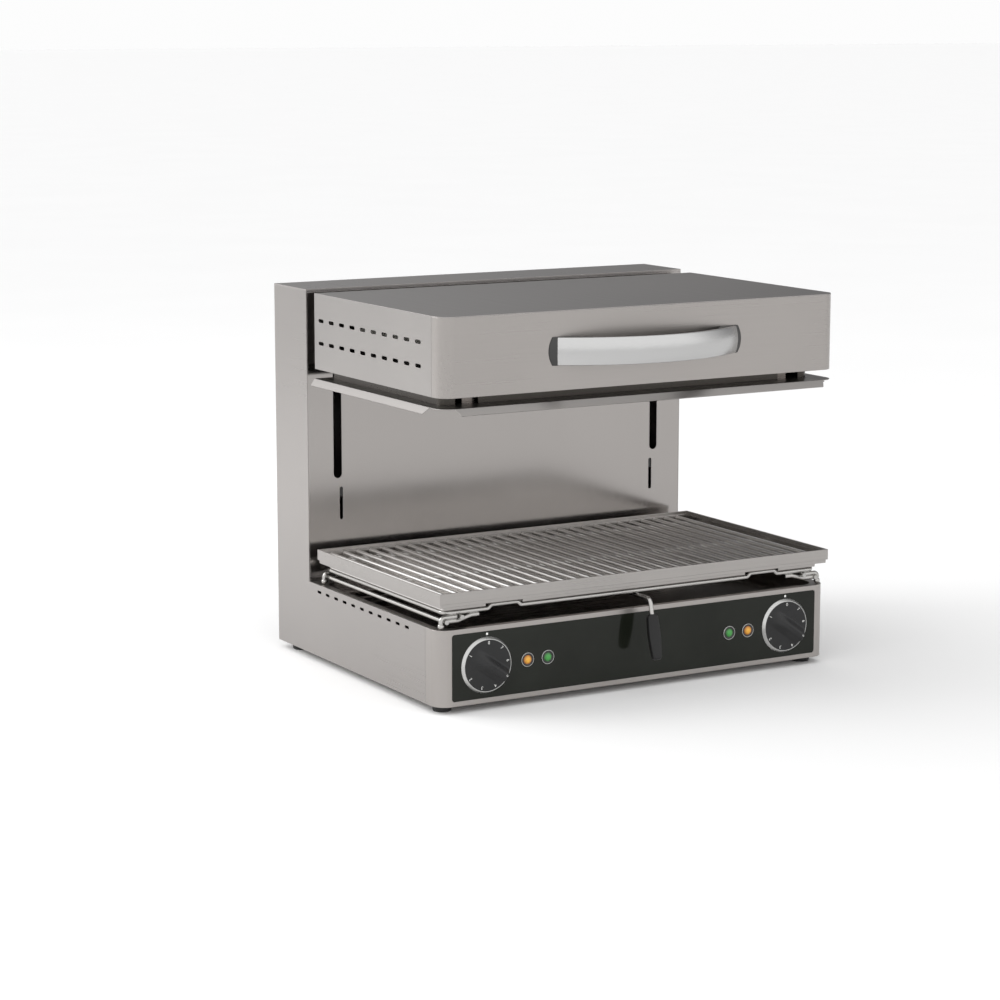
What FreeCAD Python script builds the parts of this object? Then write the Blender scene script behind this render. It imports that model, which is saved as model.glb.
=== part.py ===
import FreeCAD, Part
import math
import os
import Sketcher

# Cheese melter: a base with a lift-off wire rack and grill pan, and a heated hood that slides
# up and down on a column behind it. X runs along the width, Y from the front to the back and
# Z up. The origin is on the floor, midway between the handle's front and the cable gland's end.

VECTOR = FreeCAD.Vector
X_AXIS = VECTOR(1, 0, 0)
Y_AXIS = VECTOR(0, 1, 0)
Z_AXIS = VECTOR(0, 0, 1)
TURNS = {
    "Z": FreeCAD.Rotation(),
    "X": FreeCAD.Rotation(Y_AXIS, 90),
    "Y": FreeCAD.Rotation(X_AXIS, -90),
    "-Y": FreeCAD.Rotation(X_AXIS, 90),
}

# Driving dimensions, in millimetres
SIZES = {
    # Casing
    "overall_width": 600,
    "base_depth": 462,
    "foot_height": 10,
    "base_height": 99,
    "column_height": 497,
    "column_depth": 98,
    "sheet": 1.2,
    "corner_radius": 20,
    "base_seam": 34,
    "seam_gap": 0.4,
    "top_lip": 4,
    "fit_gap": 0.1,
    "overrun": 5,
    # Vents
    "base_vent_length": 11.5,
    "base_vent_height": 3.8,
    "base_vent_first": 83.1,
    "base_vent_back_margin": 30.3,
    "base_vent_drop": 9.5,
    "rear_vent_length": 40,
    "rear_vent_height": 4,
    "rear_vent_pitch": 12,
    "rear_vent_rise": 21,
    "rear_vent_side_margin": 130,
    # Column slots: a wide one for each arm, a narrow one below it
    "slot_side_margin": 45,
    "slot_width": 12.5,
    "slot_low_rise": 139,
    "slot_high_rise": 85,
    "narrow_slot_side_margin": 50,
    "narrow_slot_width": 5,
    "narrow_slot_rise": 81.5,
    "narrow_slot_length": 45,
    # Deck and crumb tray
    "well_side_margin": 11,
    "well_front_margin": 9,
    "well_back_margin": 19,
    "well_corner_radius": 22,
    "tray_rim": 5,
    "tray_rim_end_gap": 10,
    "tray_depth": 28,
    "tray_sheet": 0.8,
    "tray_bend_radius": 14,
    # Control panel
    "panel_side_margin": 20,
    "panel_level_margin": 6.5,
    "panel_thickness": 3,
    "panel_corner_radius": 4,
    "panel_gap": 0.3,
    "backplate_side_margin": 10,
    "knob_side_margin": 69.5,
    "control_drop": 0.5,
    "knob_radius": 36.8,
    "knob_ring_depth": 3.6,
    "knob_ring_wall": 0.8,
    "knob_ring_taper": 2.8,
    "knob_face_depth": 3.4,
    "knob_bore_depth": 7,
    "knob_trim_gap": 0.8,
    "knob_ridge_height": 7,
    "knob_ridge_base": 24,
    "knob_ridge_top": 4,
    "knob_stand_off": 0.3,
    "knob_turn_deg": 35,
    "shaft_radius": 3,
    "shaft_length": 24,
    "shaft_hole_radius": 5,
    "regulator_size": 40,
    "regulator_depth": 34,
    "lamp_first_step": 60,
    "lamp_second_step": 90,
    "bezel_radius": 9.4,
    "bezel_height": 1.2,
    "bezel_bevel": 0.5,
    "bezel_wall": 1.8,
    "bezel_floor": 0.4,
    "bezel_tube_radius": 6.2,
    "bezel_tube_length": 22,
    "bezel_bore_radius": 5.2,
    "lens_height": 2.2,
    "lens_length": 12,
    "lens_dome_radius": 8,
    # Feet
    "foot_radius": 13,
    "foot_low_radius": 12,
    "foot_side_margin": 21,
    "foot_front_margin": 29,
    "foot_back_margin": 29,
    "foot_screw_radius": 3,
    "foot_screw_length": 9,
    "foot_screw_head_radius": 5,
    "foot_screw_head_height": 3,
    "foot_recess_depth": 4,
    # Power inlet
    "gland_radius": 11,
    "gland_bore_radius": 4.5,
    "gland_length": 14,
    "gland_nut_length": 6,
    "gland_side_margin": 100,
    "gland_rise": 50,
    "terminal_width": 60,
    "terminal_depth": 26,
    "terminal_height": 22,
    "terminal_back_margin": 18,
    # Wire rack
    "wire_diameter": 6,
    "weld_sink": 0.4,
    "rack_side_margin": 15,
    "rack_front_margin": 10,
    "rack_back_margin": 27,
    "rack_rise": 20.5,
    "rack_bend": 12,
    "crest_side_margin": 101,
    "crest_half_width": 19,
    "crest_slope": 5,
    "crest_height": 4.5,
    "crest_bend": 4,
    "runner_side_margin": 36,
    "runner_overhang": 8,
    "leg_side_margin": 9.5,
    "leg_reach": 22,
    "leg_bend": 5,
    "rail_rise": 9.6,
    "rail_overhang": 6,
    "hook_end_margin": 63,
    "hook_rise_start_margin": 33,
    "hook_rise_end_margin": 52,
    "hook_bend": 6,
    "rack_foot_radius": 4.2,
    "handle_rod_reach": 23,
    "handle_rod_drop": 22,
    "handle_rod_slant": 5,
    "handle_rod_bend": 8,
    "grip_length": 60,
    "grip_neck_width": 14,
    "grip_thickness": 9,
    "grip_tip_width": 12,
    "grip_side_radius": 205,
    "grip_drop": 18.9,
    # Grill pan and grid
    "pan_side_margin": 1,
    "pan_front_overhang": 2.8,
    "pan_back_margin": 24,
    "pan_rim_rise": 27.7,
    "pan_apron": 13.9,
    "pan_wall": 2,
    "pan_ledge_width": 12,
    "pan_ledge_drop": 17,
    "pan_sheet": 1.5,
    "pan_channel_width": 54,
    "pan_channel_rise": 5.5,
    "pan_seat_gap": 0.1,
    "pan_step": 4.6,
    "rod_diameter": 6,
    "rod_side_margin": 19,
    "rod_drop": 5,
    "rod_end_gap": 0.4,
    # Hood
    "hood_overhang": 9.5,
    "hood_back_gap": 25,
    "hood_top_gap": 3,
    "hood_height": 101,
    "hood_seam": 24.5,
    "hood_vent_length": 15,
    "hood_vent_height": 5,
    "hood_vent_first": 49.6,
    "hood_vent_back_margin": 19.4,
    "hood_vent_low": 35.5,
    "hood_vent_high": 65.6,
    "bay_side_margin": 52,
    "bay_front_margin": 31,
    "bay_back_margin": 34,
    "skirt_side_margin": 19,
    "skirt_front_margin": 23,
    "skirt_back_margin": 18,
    "skirt_corner_radius": 14,
    "skirt_window_outer_margin": 38,
    "skirt_window_inner_margin": 71,
    "skirt_head_height": 3,
    "deflector_drop": 13.2,
    "deflector_back_overhang": 2,
    "lip_width": 11.3,
    "lip_slope_deg": 45,
    "lip_end_cut": 5,
    "lip_sheet": 1,
    "side_lip_start": 20,
    "front_lip_margin": 20,
    "reflector_height": 26,
    "reflector_flange": 7.5,
    "insulation_height": 40,
    # Heating elements
    "element_radius": 4,
    "element_drop": 5,
    "element_margin": 15,
    "element_tail_height": 22,
    "element_bend": 18,
    "strip_thickness": 2,
    "strip_height": 14,
    "strip_gap": 0.15,
    # Handle
    "handle_radius": 245,
    "handle_reach": 48.5,
    "handle_rise": 50,
    "handle_height": 36,
    "handle_edge": 3,
    "handle_crown": 3.2,
    "handle_crown_radius": 52,
    "cap_reach": 51.3,
    "cap_thickness": 16,
    "cap_slant_depth": 21.8,
    "cap_foot_reach": 31.7,
    "cap_length_deg": 5.34,
    "handle_screw_inset": 21.3,
    "handle_screw_radius": 2,
    "handle_screw_length": 6.5,
    # Carriage and guides
    "guide_radius": 8,
    "guide_depth": 31,
    "guide_low_rise": 113,
    "guide_top_gap": 10,
    "guide_block": 30,
    "guide_block_height": 14,
    "bush_radius": 12,
    "bush_length": 30,
    "bush_low_rise": 3,
    "bush_high_rise": 45,
    "bush_clearance": 0.05,
    "bush_housing_wall": 3,
    "arm_width": 8,
    "arm_low_rise": 1,
    "arm_high_rise": 73,
    "bridge_low_rise": 22,
    "bridge_high_rise": 62,
    "bridge_thickness": 6,
    "bridge_depth": 38,
    "arm_flange_width": 40,
    "arm_flange_thickness": 3,
    # Counterweight drive
    "pulley_radius": 16,
    "pulley_width": 14,
    "pulley_depth": 64,
    "pulley_top_gap": 35,
    "pulley_low_rise": 11,
    "belt_thickness": 2,
    "belt_width": 10,
    "belt_gap": 0.1,
    "pin_radius": 4,
    "pin_clearance": 0.05,
    "bracket_thickness": 3,
    "bracket_width": 24,
    "bracket_height": 40,
    "weight_side_margin": 85,
    "weight_thickness": 26,
    "weight_height": 140,
    "weight_rise": 43,
    "weight_clamp_width": 30,
    "weight_guide_width": 16,
    "weight_guide_rise": 21,
    "weight_guide_top_gap": 67,
    "weight_guide_gap": 1,
    # Fasteners
    "screw_head_radius": 4,
    "screw_head_height": 2,
}

# Counts
BASE_VENTS = 11
HOOD_VENTS = 10
REAR_VENTS = 8
RODS = 29
HAIRPINS = 3

# Shares of the pan's length at which the cross rods lie, of the bay's length at which the
# element strips lie, and of the rear cover's width and height at which its screws lie
CROSS_ROD_SHARES = (0.065, 0.47, 0.935)
STRIP_SHARES = (0.2, 0.8)
SCREW_WIDTH_SHARES = (-0.47, 0.47)
SCREW_HEIGHT_SHARES = (0.04, 0.35, 0.66, 0.97)


class Length:
    """A size with its value and the spreadsheet expression that gives it."""

    def __init__(self, value, text):
        self.value = value
        self.text = text

    def __add__(self, other):
        other = length(other)
        return Length(self.value + other.value, f"({self.text} + {other.text})")

    def __sub__(self, other):
        other = length(other)
        return Length(self.value - other.value, f"({self.text} - {other.text})")

    def __mul__(self, scale):
        return Length(self.value * scale, f"({self.text} * {scale:.9f})")

    def __truediv__(self, scale):
        return Length(self.value / scale, f"({self.text} / {scale:.9f})")

    def __neg__(self):
        return self * -1

    def __float__(self):
        return float(self.value)


def length(item):
    """The item as a Length: zero is the only bare length that the model uses."""
    return item if isinstance(item, Length) else Length(float(item), f"{float(item):.9f}")


doc = FreeCAD.newDocument("cheese_melter")
dims = doc.addObject("Spreadsheet::Sheet", "dims")
for row, (alias, value) in enumerate(SIZES.items(), 1):
    dims.set(f"A{row}", str(value))
    dims.setAlias(f"A{row}", alias)
doc.recompute()


class Sizes:
    """The spreadsheet's aliases as attributes."""

    def __getattr__(self, alias):
        return Length(float(dims.get(alias)), f"dims.{alias}")


size = Sizes()
nodes = []


def node(item, label):
    """Name a finished sub-part and keep it for export."""
    item.Label = label
    nodes.append(item)
    return item


def bind(item, **properties):
    """Tie properties to spreadsheet expressions."""
    for name, value in properties.items():
        item.setExpression(name, length(value).text)


def place(item, x, y, z, turn="Z"):
    """Put an item at a bound place, turned so that its Z axis points along turn."""
    item.Placement = FreeCAD.Placement(VECTOR(), TURNS[turn])
    for axis, value in zip("xyz", (x, y, z)):
        item.setExpression(f"Placement.Base.{axis}", length(value).text)
    return item


def box(name, xs, ys, zs):
    """A block between two places on each axis."""
    item = doc.addObject("Part::Box", name)
    bind(item, Length=xs[1] - xs[0], Width=ys[1] - ys[0], Height=zs[1] - zs[0])
    return place(item, xs[0], ys[0], zs[0])


def cylinder(name, at, radius, height, turn="Z"):
    """A round bar from a point along an axis."""
    item = doc.addObject("Part::Cylinder", name)
    bind(item, Radius=radius, Height=height)
    return place(item, *at, turn)


def cone(name, at, low_radius, high_radius, height, turn="Z"):
    """A tapered round bar from a point along an axis."""
    item = doc.addObject("Part::Cone", name)
    bind(item, Radius1=low_radius, Radius2=high_radius, Height=height)
    return place(item, *at, turn)


def fuse(name, items):
    """One solid from several."""
    item = doc.addObject("Part::MultiFuse", name)
    item.Shapes = list(items)
    return item


def group(name, items):
    """Separate solids that share one node."""
    item = doc.addObject("Part::Compound", name)
    item.Links = list(items)
    return item


def cut(name, base, tools):
    """The base less its tools."""
    item = doc.addObject("Part::Cut", name)
    item.Base = base
    item.Tool = tools[0] if len(tools) == 1 else fuse(name + "_tools", tools)
    return item


def common(name, first, second):
    """What two solids share."""
    item = doc.addObject("Part::Common", name)
    item.Base = first
    item.Tool = second
    return item


def fillet(name, base, radius, chosen):
    """The base with its chosen edges rounded."""
    doc.recompute()
    item = doc.addObject("Part::Fillet", name)
    item.Base = base
    edges = base.Shape.Edges
    item.Edges = [(i, float(radius), float(radius)) for i, edge in enumerate(edges, 1) if chosen(edge)]
    return item


def feature(name, shape):
    """A sub-part whose shape comes from sizes read off the spreadsheet."""
    item = doc.addObject("Part::Feature", name)
    item.Shape = shape
    item.Placement = FreeCAD.Placement()
    return item


def vertical(edge):
    """Whether an edge is a straight line along Z."""
    return isinstance(edge.Curve, Part.Line) and abs(edge.tangentAt(edge.FirstParameter).z) > 0.999


def along_depth(edge):
    """Whether an edge is a straight line along Y."""
    return isinstance(edge.Curve, Part.Line) and abs(edge.tangentAt(edge.FirstParameter).y) > 0.999


def in_front_of(edge, y):
    """Whether an edge's middle lies in front of a place."""
    return edge.BoundBox.Center.y < float(y)


def origin_plane(body, role):
    """One of a body's own origin planes."""
    return [item for item in body.Origin.OriginFeatures if item.Role == role][0]


def new_body(name):
    return doc.addObject("PartDesign::Body", name)


def new_sketch(body, role):
    """An empty sketch on one of the body's origin planes."""
    sketch = body.newObject("Sketcher::SketchObject", f"{body.Name}_sketch")
    sketch.AttachmentSupport = [(origin_plane(body, role), "")]
    sketch.MapMode = "FlatFace"
    return sketch


def hold(sketch, geometry, point, u, v):
    """Hold a sketch point at bound distances from the sketch's origin."""
    for kind, value in (("DistanceX", u), ("DistanceY", v)):
        value = length(value)
        place_on = -2 if kind == "DistanceX" else -1
        if abs(value.value) < 1e-9:
            sketch.addConstraint(Sketcher.Constraint("PointOnObject", geometry, point, place_on))
            continue
        index = sketch.addConstraint(Sketcher.Constraint(kind, -1, 1, geometry, point, value.value))
        sketch.setExpression(f"Constraints[{index}]", value.text)


def outline(body, role, corners):
    """A closed anticlockwise outline. A corner with a third item starts an arc of that radius,
    bulging outwards, to the next corner."""
    sketch = new_sketch(body, role)
    points = [VECTOR(float(corner[0]), float(corner[1]), 0) for corner in corners]
    count = len(corners)
    for i, corner in enumerate(corners):
        start = points[i]
        end = points[(i + 1) % count]
        if len(corner) == 2:
            sketch.addGeometry(Part.LineSegment(start, end), False)
            continue
        radius = float(corner[2])
        chord = end - start
        rise = math.sqrt(radius ** 2 - (chord.Length / 2) ** 2)
        inward = VECTOR(-chord.y, chord.x, 0).normalize()
        centre = (start + end) * 0.5 + inward * rise
        first = math.atan2(start.y - centre.y, start.x - centre.x)
        last = math.atan2(end.y - centre.y, end.x - centre.x)
        circle = Part.Circle(centre, Z_AXIS, radius)
        sketch.addGeometry(Part.ArcOfCircle(circle, first, last), False)
    for i in range(count):
        sketch.addConstraint(Sketcher.Constraint("Coincident", i, 2, (i + 1) % count, 1))
    for i, corner in enumerate(corners):
        hold(sketch, i, 1, corner[0], corner[1])
        if len(corner) == 3:
            index = sketch.addConstraint(Sketcher.Constraint("Radius", i, float(corner[2])))
            sketch.setExpression(f"Constraints[{index}]", length(corner[2]).text)
    return sketch


def pad(body, role, corners, depth, both_ways=False):
    """Extrude an outline from an origin plane of the body."""
    sketch = outline(body, role, corners)
    item = body.newObject("PartDesign::Pad", f"{body.Name}_pad")
    item.Profile = sketch
    bind(item, Length=depth)
    item.Midplane = both_ways
    return item


def revolve(body, role, corners, degrees=360.0):
    """Turn an outline about the sketch's upright axis."""
    sketch = outline(body, role, corners)
    item = body.newObject("PartDesign::Revolution", f"{body.Name}_turn")
    item.Profile = sketch
    item.ReferenceAxis = (sketch, ["V_Axis"])
    item.Angle = degrees
    item.Midplane = degrees < 360
    return item


def slot(body, role, start, end, radius):
    """Cut a round-ended slot through the body, centred on a line along one sketch axis."""
    sketch = new_sketch(body, role)
    u0, v0 = float(start[0]), float(start[1])
    u1, v1 = float(end[0]), float(end[1])
    half = float(radius)
    across = VECTOR(v1 - v0, u0 - u1, 0).normalize() * half
    turn = math.atan2(across.y, across.x)
    a = VECTOR(u0, v0, 0)
    b = VECTOR(u1, v1, 0)
    sketch.addGeometry(Part.LineSegment(a + across, b + across), False)
    sketch.addGeometry(Part.ArcOfCircle(Part.Circle(b, Z_AXIS, half), turn, turn + math.pi), False)
    sketch.addGeometry(Part.LineSegment(b - across, a - across), False)
    last = Part.ArcOfCircle(Part.Circle(a, Z_AXIS, half), turn + math.pi, turn + 2 * math.pi)
    sketch.addGeometry(last, False)
    for i in range(4):
        sketch.addConstraint(Sketcher.Constraint("Tangent", i, 2, (i + 1) % 4, 1))
    sketch.addConstraint(Sketcher.Constraint("Equal", 1, 3))
    hold(sketch, 3, 3, start[0], start[1])
    hold(sketch, 1, 3, end[0], end[1])
    index = sketch.addConstraint(Sketcher.Constraint("Radius", 1, half))
    sketch.setExpression(f"Constraints[{index}]", length(radius).text)
    item = body.newObject("PartDesign::Pocket", f"{body.Name}_slot")
    item.Profile = sketch
    item.Type = "ThroughAll"
    item.Midplane = True
    return item


def repeat(body, item, axis, reach, count):
    """Repeat a cut along its sketch's axis, over a bound reach."""
    pattern = body.newObject("PartDesign::LinearPattern", f"{body.Name}_row")
    pattern.Originals = [item]
    pattern.Direction = (item.Profile[0], [axis])
    bind(pattern, Length=reach)
    pattern.Occurrences = count
    body.Tip = pattern
    return pattern


def bent_path(points, bend):
    """Straight runs joined by tangent arcs of one radius."""
    edges = []
    start = points[0]
    for before, corner, after in zip(points, points[1:], points[2:]):
        inward = (before - corner).normalize()
        outward = (after - corner).normalize()
        half = inward.getAngle(outward) / 2
        trim = bend / math.tan(half)
        entry = corner + inward * trim
        leave = corner + outward * trim
        middle_way = (inward + outward).normalize()
        middle = corner + middle_way * (bend / math.sin(half) - bend)
        edges.append(Part.LineSegment(start, entry).toShape())
        edges.append(Part.Arc(entry, middle, leave).toShape())
        start = leave
    edges.append(Part.LineSegment(start, points[-1]).toShape())
    return edges


def rod(points, radius, bend=0.0):
    """A round rod along a path of points, with bent corners."""
    points = [VECTOR(*[float(value) for value in point]) for point in points]
    edges = bent_path(points, float(bend))
    circle = Part.Circle(points[0], points[1] - points[0], float(radius)).toShape()
    return Part.Wire(edges).makePipeShell([Part.Wire([circle])], True, False)


def sides(make):
    """Make a left-hand and a right-hand copy: side is -1 on the left and 1 on the right."""
    return [make("left", -1), make("right", 1)]


# Places that several sub-parts share
half_width = size.overall_width / 2
inner_half_width = half_width - size.sheet
front = (size.hood_overhang + size.handle_reach - size.base_depth - size.gland_length) / 2
back = front + size.base_depth
base_low = size.foot_height
base_top = size.foot_height + size.base_height
column_top = size.foot_height + size.column_height
column_front = back - size.column_depth
hood_front_y = front - size.hood_overhang
hood_back_y = column_front - size.hood_back_gap
hood_top = column_top - size.hood_top_gap
hood_low = hood_top - size.hood_height
zero = size.overall_width * 0


# Casing: side panels, each one sheet from the base to the top of the column
def side_panel(hand, side):
    body = new_body(f"side_panel_{hand}")
    pad(body, "YZ_Plane", [
        (front + size.base_seam, base_low),
        (back, base_low),
        (back, column_top - size.sheet),
        (column_front, column_top - size.sheet),
        (column_front, base_top),
        (front + size.base_seam, base_top),
    ], size.sheet)
    level = base_top - size.base_vent_drop
    reach = (size.base_vent_length - size.base_vent_height) / 2
    centre = front + size.base_vent_first
    vent = slot(body, "YZ_Plane", (centre - reach, level), (centre + reach, level),
                size.base_vent_height / 2)
    repeat(body, vent, "H_Axis", column_front - size.base_vent_back_margin - centre, BASE_VENTS)
    place(body, -half_width if side < 0 else inner_half_width, 0, 0)
    return node(body, f"side_panel_{hand}")


sides(side_panel)


# Column: top cap with a front lip, slotted front panel and vented rear cover
cap_plate = box("cap_plate", (-half_width, half_width), (column_front, back),
                (column_top - size.sheet, column_top))
cap_lip = box("cap_lip", (-inner_half_width, inner_half_width), (column_front, column_front + size.sheet),
              (column_top - size.top_lip, column_top - size.sheet))
node(fuse("column_top_cap", [cap_plate, cap_lip]), "column_top_cap")


def column_front_panel():
    body = new_body("column_front_panel")
    low = base_top - size.sheet
    high = column_top - size.top_lip
    pad(body, "XZ_Plane", [
        (-inner_half_width, low),
        (inner_half_width, low),
        (inner_half_width, high),
        (-inner_half_width, high),
    ], size.sheet)
    narrow_low = base_top + size.narrow_slot_rise
    wide = (size.slot_side_margin, size.slot_width, base_top + size.slot_low_rise,
            hood_low + size.slot_high_rise)
    narrow = (size.narrow_slot_side_margin, size.narrow_slot_width, narrow_low,
              narrow_low + size.narrow_slot_length)
    for side in (-1, 1):
        for margin, width, low_end, high_end in (wide, narrow):
            x = (half_width - margin) * side
            slot(body, "XZ_Plane", (x, low_end + width / 2), (x, high_end - width / 2), width / 2)
    place(body, 0, column_front + size.sheet, 0)
    return node(body, "column_front_panel")


column_front_panel()


gland_x = half_width - size.gland_side_margin
gland_z = base_low + size.gland_rise


def rear_cover():
    body = new_body("rear_sheet")
    pad(body, "XZ_Plane", [
        (-inner_half_width, base_low),
        (inner_half_width, base_low),
        (inner_half_width, column_top - size.sheet),
        (-inner_half_width, column_top - size.sheet),
    ], size.sheet)
    reach = (size.rear_vent_length - size.rear_vent_height) / 2
    level = base_top + size.rear_vent_rise
    for side in (-1, 1):
        centre = (half_width - size.rear_vent_side_margin) * side
        vent = slot(body, "XZ_Plane", (centre - reach, level), (centre + reach, level),
                    size.rear_vent_height / 2)
        repeat(body, vent, "V_Axis", size.rear_vent_pitch * (REAR_VENTS - 1), REAR_VENTS)
    place(body, 0, back, 0)
    hole = cylinder("gland_hole", (gland_x, back - size.overrun, gland_z), size.gland_radius,
                    size.overrun * 2, "Y")
    return node(cut("rear_cover_holed", body, [hole]), "rear_cover")


rear_cover()


def rear_screws():
    heads = []
    for across in SCREW_WIDTH_SHARES:
        for up in SCREW_HEIGHT_SHARES:
            at = (size.overall_width * across, back, base_low + size.column_height * up)
            heads.append(cylinder("rear_screw", at, size.screw_head_radius, size.screw_head_height, "Y"))
    return node(group("rear_cover_screws", heads), "rear_cover_screws")


rear_screws()


# Base: front shell with rounded corners, deck with its well, bottom plate
def rounded_front(name, half_x, front_y, back_y, low, high, radius):
    """A block with its two front upright edges rounded."""
    block = box(name + "_block", (-half_x, half_x), (front_y, back_y), (low, high))
    middle = (front_y + back_y) / 2
    return fillet(name, block, radius, lambda edge: vertical(edge) and in_front_of(edge, middle))


panel_half = half_width - size.panel_side_margin


def panel_window(name, gap, deep):
    """A rounded block the size of the control panel, larger by gap, set into the base front."""
    half_x = panel_half + gap
    low = base_low + size.panel_level_margin - gap
    high = base_top - size.panel_level_margin + gap
    block = box(name + "_block", (-half_x, half_x), deep, (low, high))
    return fillet(name, block, size.panel_corner_radius, along_depth)


seam_y = front + size.base_seam
shell_outer = rounded_front("shell_outer", half_width, front, seam_y - size.seam_gap, base_low, base_top,
                            size.corner_radius)
shell_inner = rounded_front("shell_inner", inner_half_width, front + size.sheet, seam_y + size.overrun,
                            base_low - size.overrun, base_top + size.overrun,
                            size.corner_radius - size.sheet)
window = panel_window("shell_window", size.panel_gap, (front - size.overrun, front + size.overrun))
node(cut("base_front_shell", shell_outer, [shell_inner, window]), "base_front_shell")

well_half = half_width - size.well_side_margin
well_ys = (front + size.well_front_margin, column_front - size.well_back_margin)
deck_plate = rounded_front("deck_plate", inner_half_width - size.fit_gap,
                           front + size.sheet + size.fit_gap, column_front,
                           base_top - size.sheet, base_top, size.corner_radius - size.sheet)
deck_well_block = box("deck_well_block", (-well_half, well_half), well_ys,
                      (base_low, base_top + size.overrun))
deck_well = fillet("deck_well", deck_well_block, size.well_corner_radius, vertical)
node(cut("base_deck", deck_plate, [deck_well]), "base_deck")

bottom_plate = rounded_front("bottom_sheet", inner_half_width - size.fit_gap,
                             front + size.sheet + size.fit_gap, back - size.sheet - size.fit_gap,
                             base_low, base_low + size.sheet, size.corner_radius - size.sheet)
foot_places = [
    ((half_width - size.foot_side_margin) * side, y)
    for side in (-1, 1)
    for y in (front + size.foot_front_margin, back - size.foot_back_margin)
]
foot_holes = [
    cylinder("foot_hole", (x, y, zero), size.foot_screw_radius, base_low + size.overrun)
    for x, y in foot_places
]
node(cut("base_bottom_plate", bottom_plate, foot_holes), "base_bottom_plate")


# Feet: tapered rubber, each with a screw up into the bottom plate
def feet():
    rubbers = []
    screws = []
    for x, y in foot_places:
        body = new_body("foot")
        revolve(body, "XZ_Plane", [
            (size.foot_screw_radius + size.fit_gap, size.foot_recess_depth),
            (size.foot_screw_head_radius + size.fit_gap, size.foot_recess_depth),
            (size.foot_screw_head_radius + size.fit_gap, zero),
            (size.foot_low_radius, zero),
            (size.foot_radius, size.foot_height),
            (size.foot_screw_radius + size.fit_gap, size.foot_height),
        ])
        rubbers.append(place(body, x, y, 0))
        head_low = size.foot_recess_depth - size.foot_screw_head_height
        head = cylinder("foot_screw_head", (x, y, head_low), size.foot_screw_head_radius,
                        size.foot_screw_head_height)
        shank = cylinder("foot_screw_shank", (x, y, head_low), size.foot_screw_radius - size.fit_gap,
                         size.foot_screw_length + size.foot_recess_depth)
        screws.append(fuse("foot_screw", [head, shank]))
    node(group("rubber_feet", rubbers), "rubber_feet")
    node(group("foot_screws", screws), "foot_screws")


feet()


# Crumb tray: a shallow basin that hangs in the well by its front and back rims
def crumb_tray():
    gap = size.fit_gap
    half_x = well_half - gap
    ys = (well_ys[0] + gap, well_ys[1] - gap)

    def basin(name, inset, low, high):
        block = box(name + "_block", (inset - half_x, half_x - inset), (ys[0] + inset, ys[1] - inset),
                    (low, high))
        upright = fillet(name + "_upright", block, size.well_corner_radius - inset, vertical)

        def below(edge):
            return edge.BoundBox.ZMax < float(low + size.tray_sheet / 2)

        return fillet(name, upright, size.tray_bend_radius - inset, below)

    floor_low = base_top - size.tray_depth
    outer = basin("tray_outer", zero, floor_low, base_top)
    inner = basin("tray_inner", size.tray_sheet, floor_low + size.tray_sheet, base_top + size.overrun)
    rim_x = half_x - size.tray_rim_end_gap - size.well_corner_radius
    rim = box("tray_rim_plate", (-rim_x, rim_x), (ys[0] - size.tray_rim, ys[1] + size.tray_rim),
              (base_top, base_top + size.tray_sheet))
    return node(cut("crumb_tray", fuse("tray_solid", [outer, rim]), [inner]), "crumb_tray")


crumb_tray()


# Control panel: glass plate in the shell's window, steel backplate, knobs, regulators and lamps
control_z = (base_low + base_top) / 2 - size.control_drop
knob_x = half_width - size.knob_side_margin
lamp_places = [
    (side, knob_x - step, colour)
    for side in (-1, 1)
    for step, colour in ((size.lamp_first_step, "amber"), (size.lamp_second_step, "green"))
]
panel_back = front + size.panel_thickness


def control_holes(name):
    """Round holes for the knob shafts and the lamp tubes."""
    holes = [
        cylinder(name, (knob_x * side, front - size.overrun, control_z), size.shaft_hole_radius,
                 size.overrun * 3, "Y")
        for side in (-1, 1)
    ]
    return holes + [
        cylinder(name, (offset * side, front - size.overrun, control_z),
                 size.bezel_tube_radius + size.fit_gap, size.overrun * 3, "Y")
        for side, offset, colour in lamp_places
    ]


glass = panel_window("panel_glass", zero, (front, panel_back))
node(cut("control_panel", glass, control_holes("panel_hole")), "control_panel")

backplate_half = panel_half - size.backplate_side_margin
backplate = box("backplate", (-backplate_half, backplate_half), (panel_back, panel_back + size.sheet),
                (base_low + size.sheet, base_top - size.sheet))
node(cut("panel_backplate", backplate, control_holes("backplate_hole")), "panel_backplate")


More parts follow.
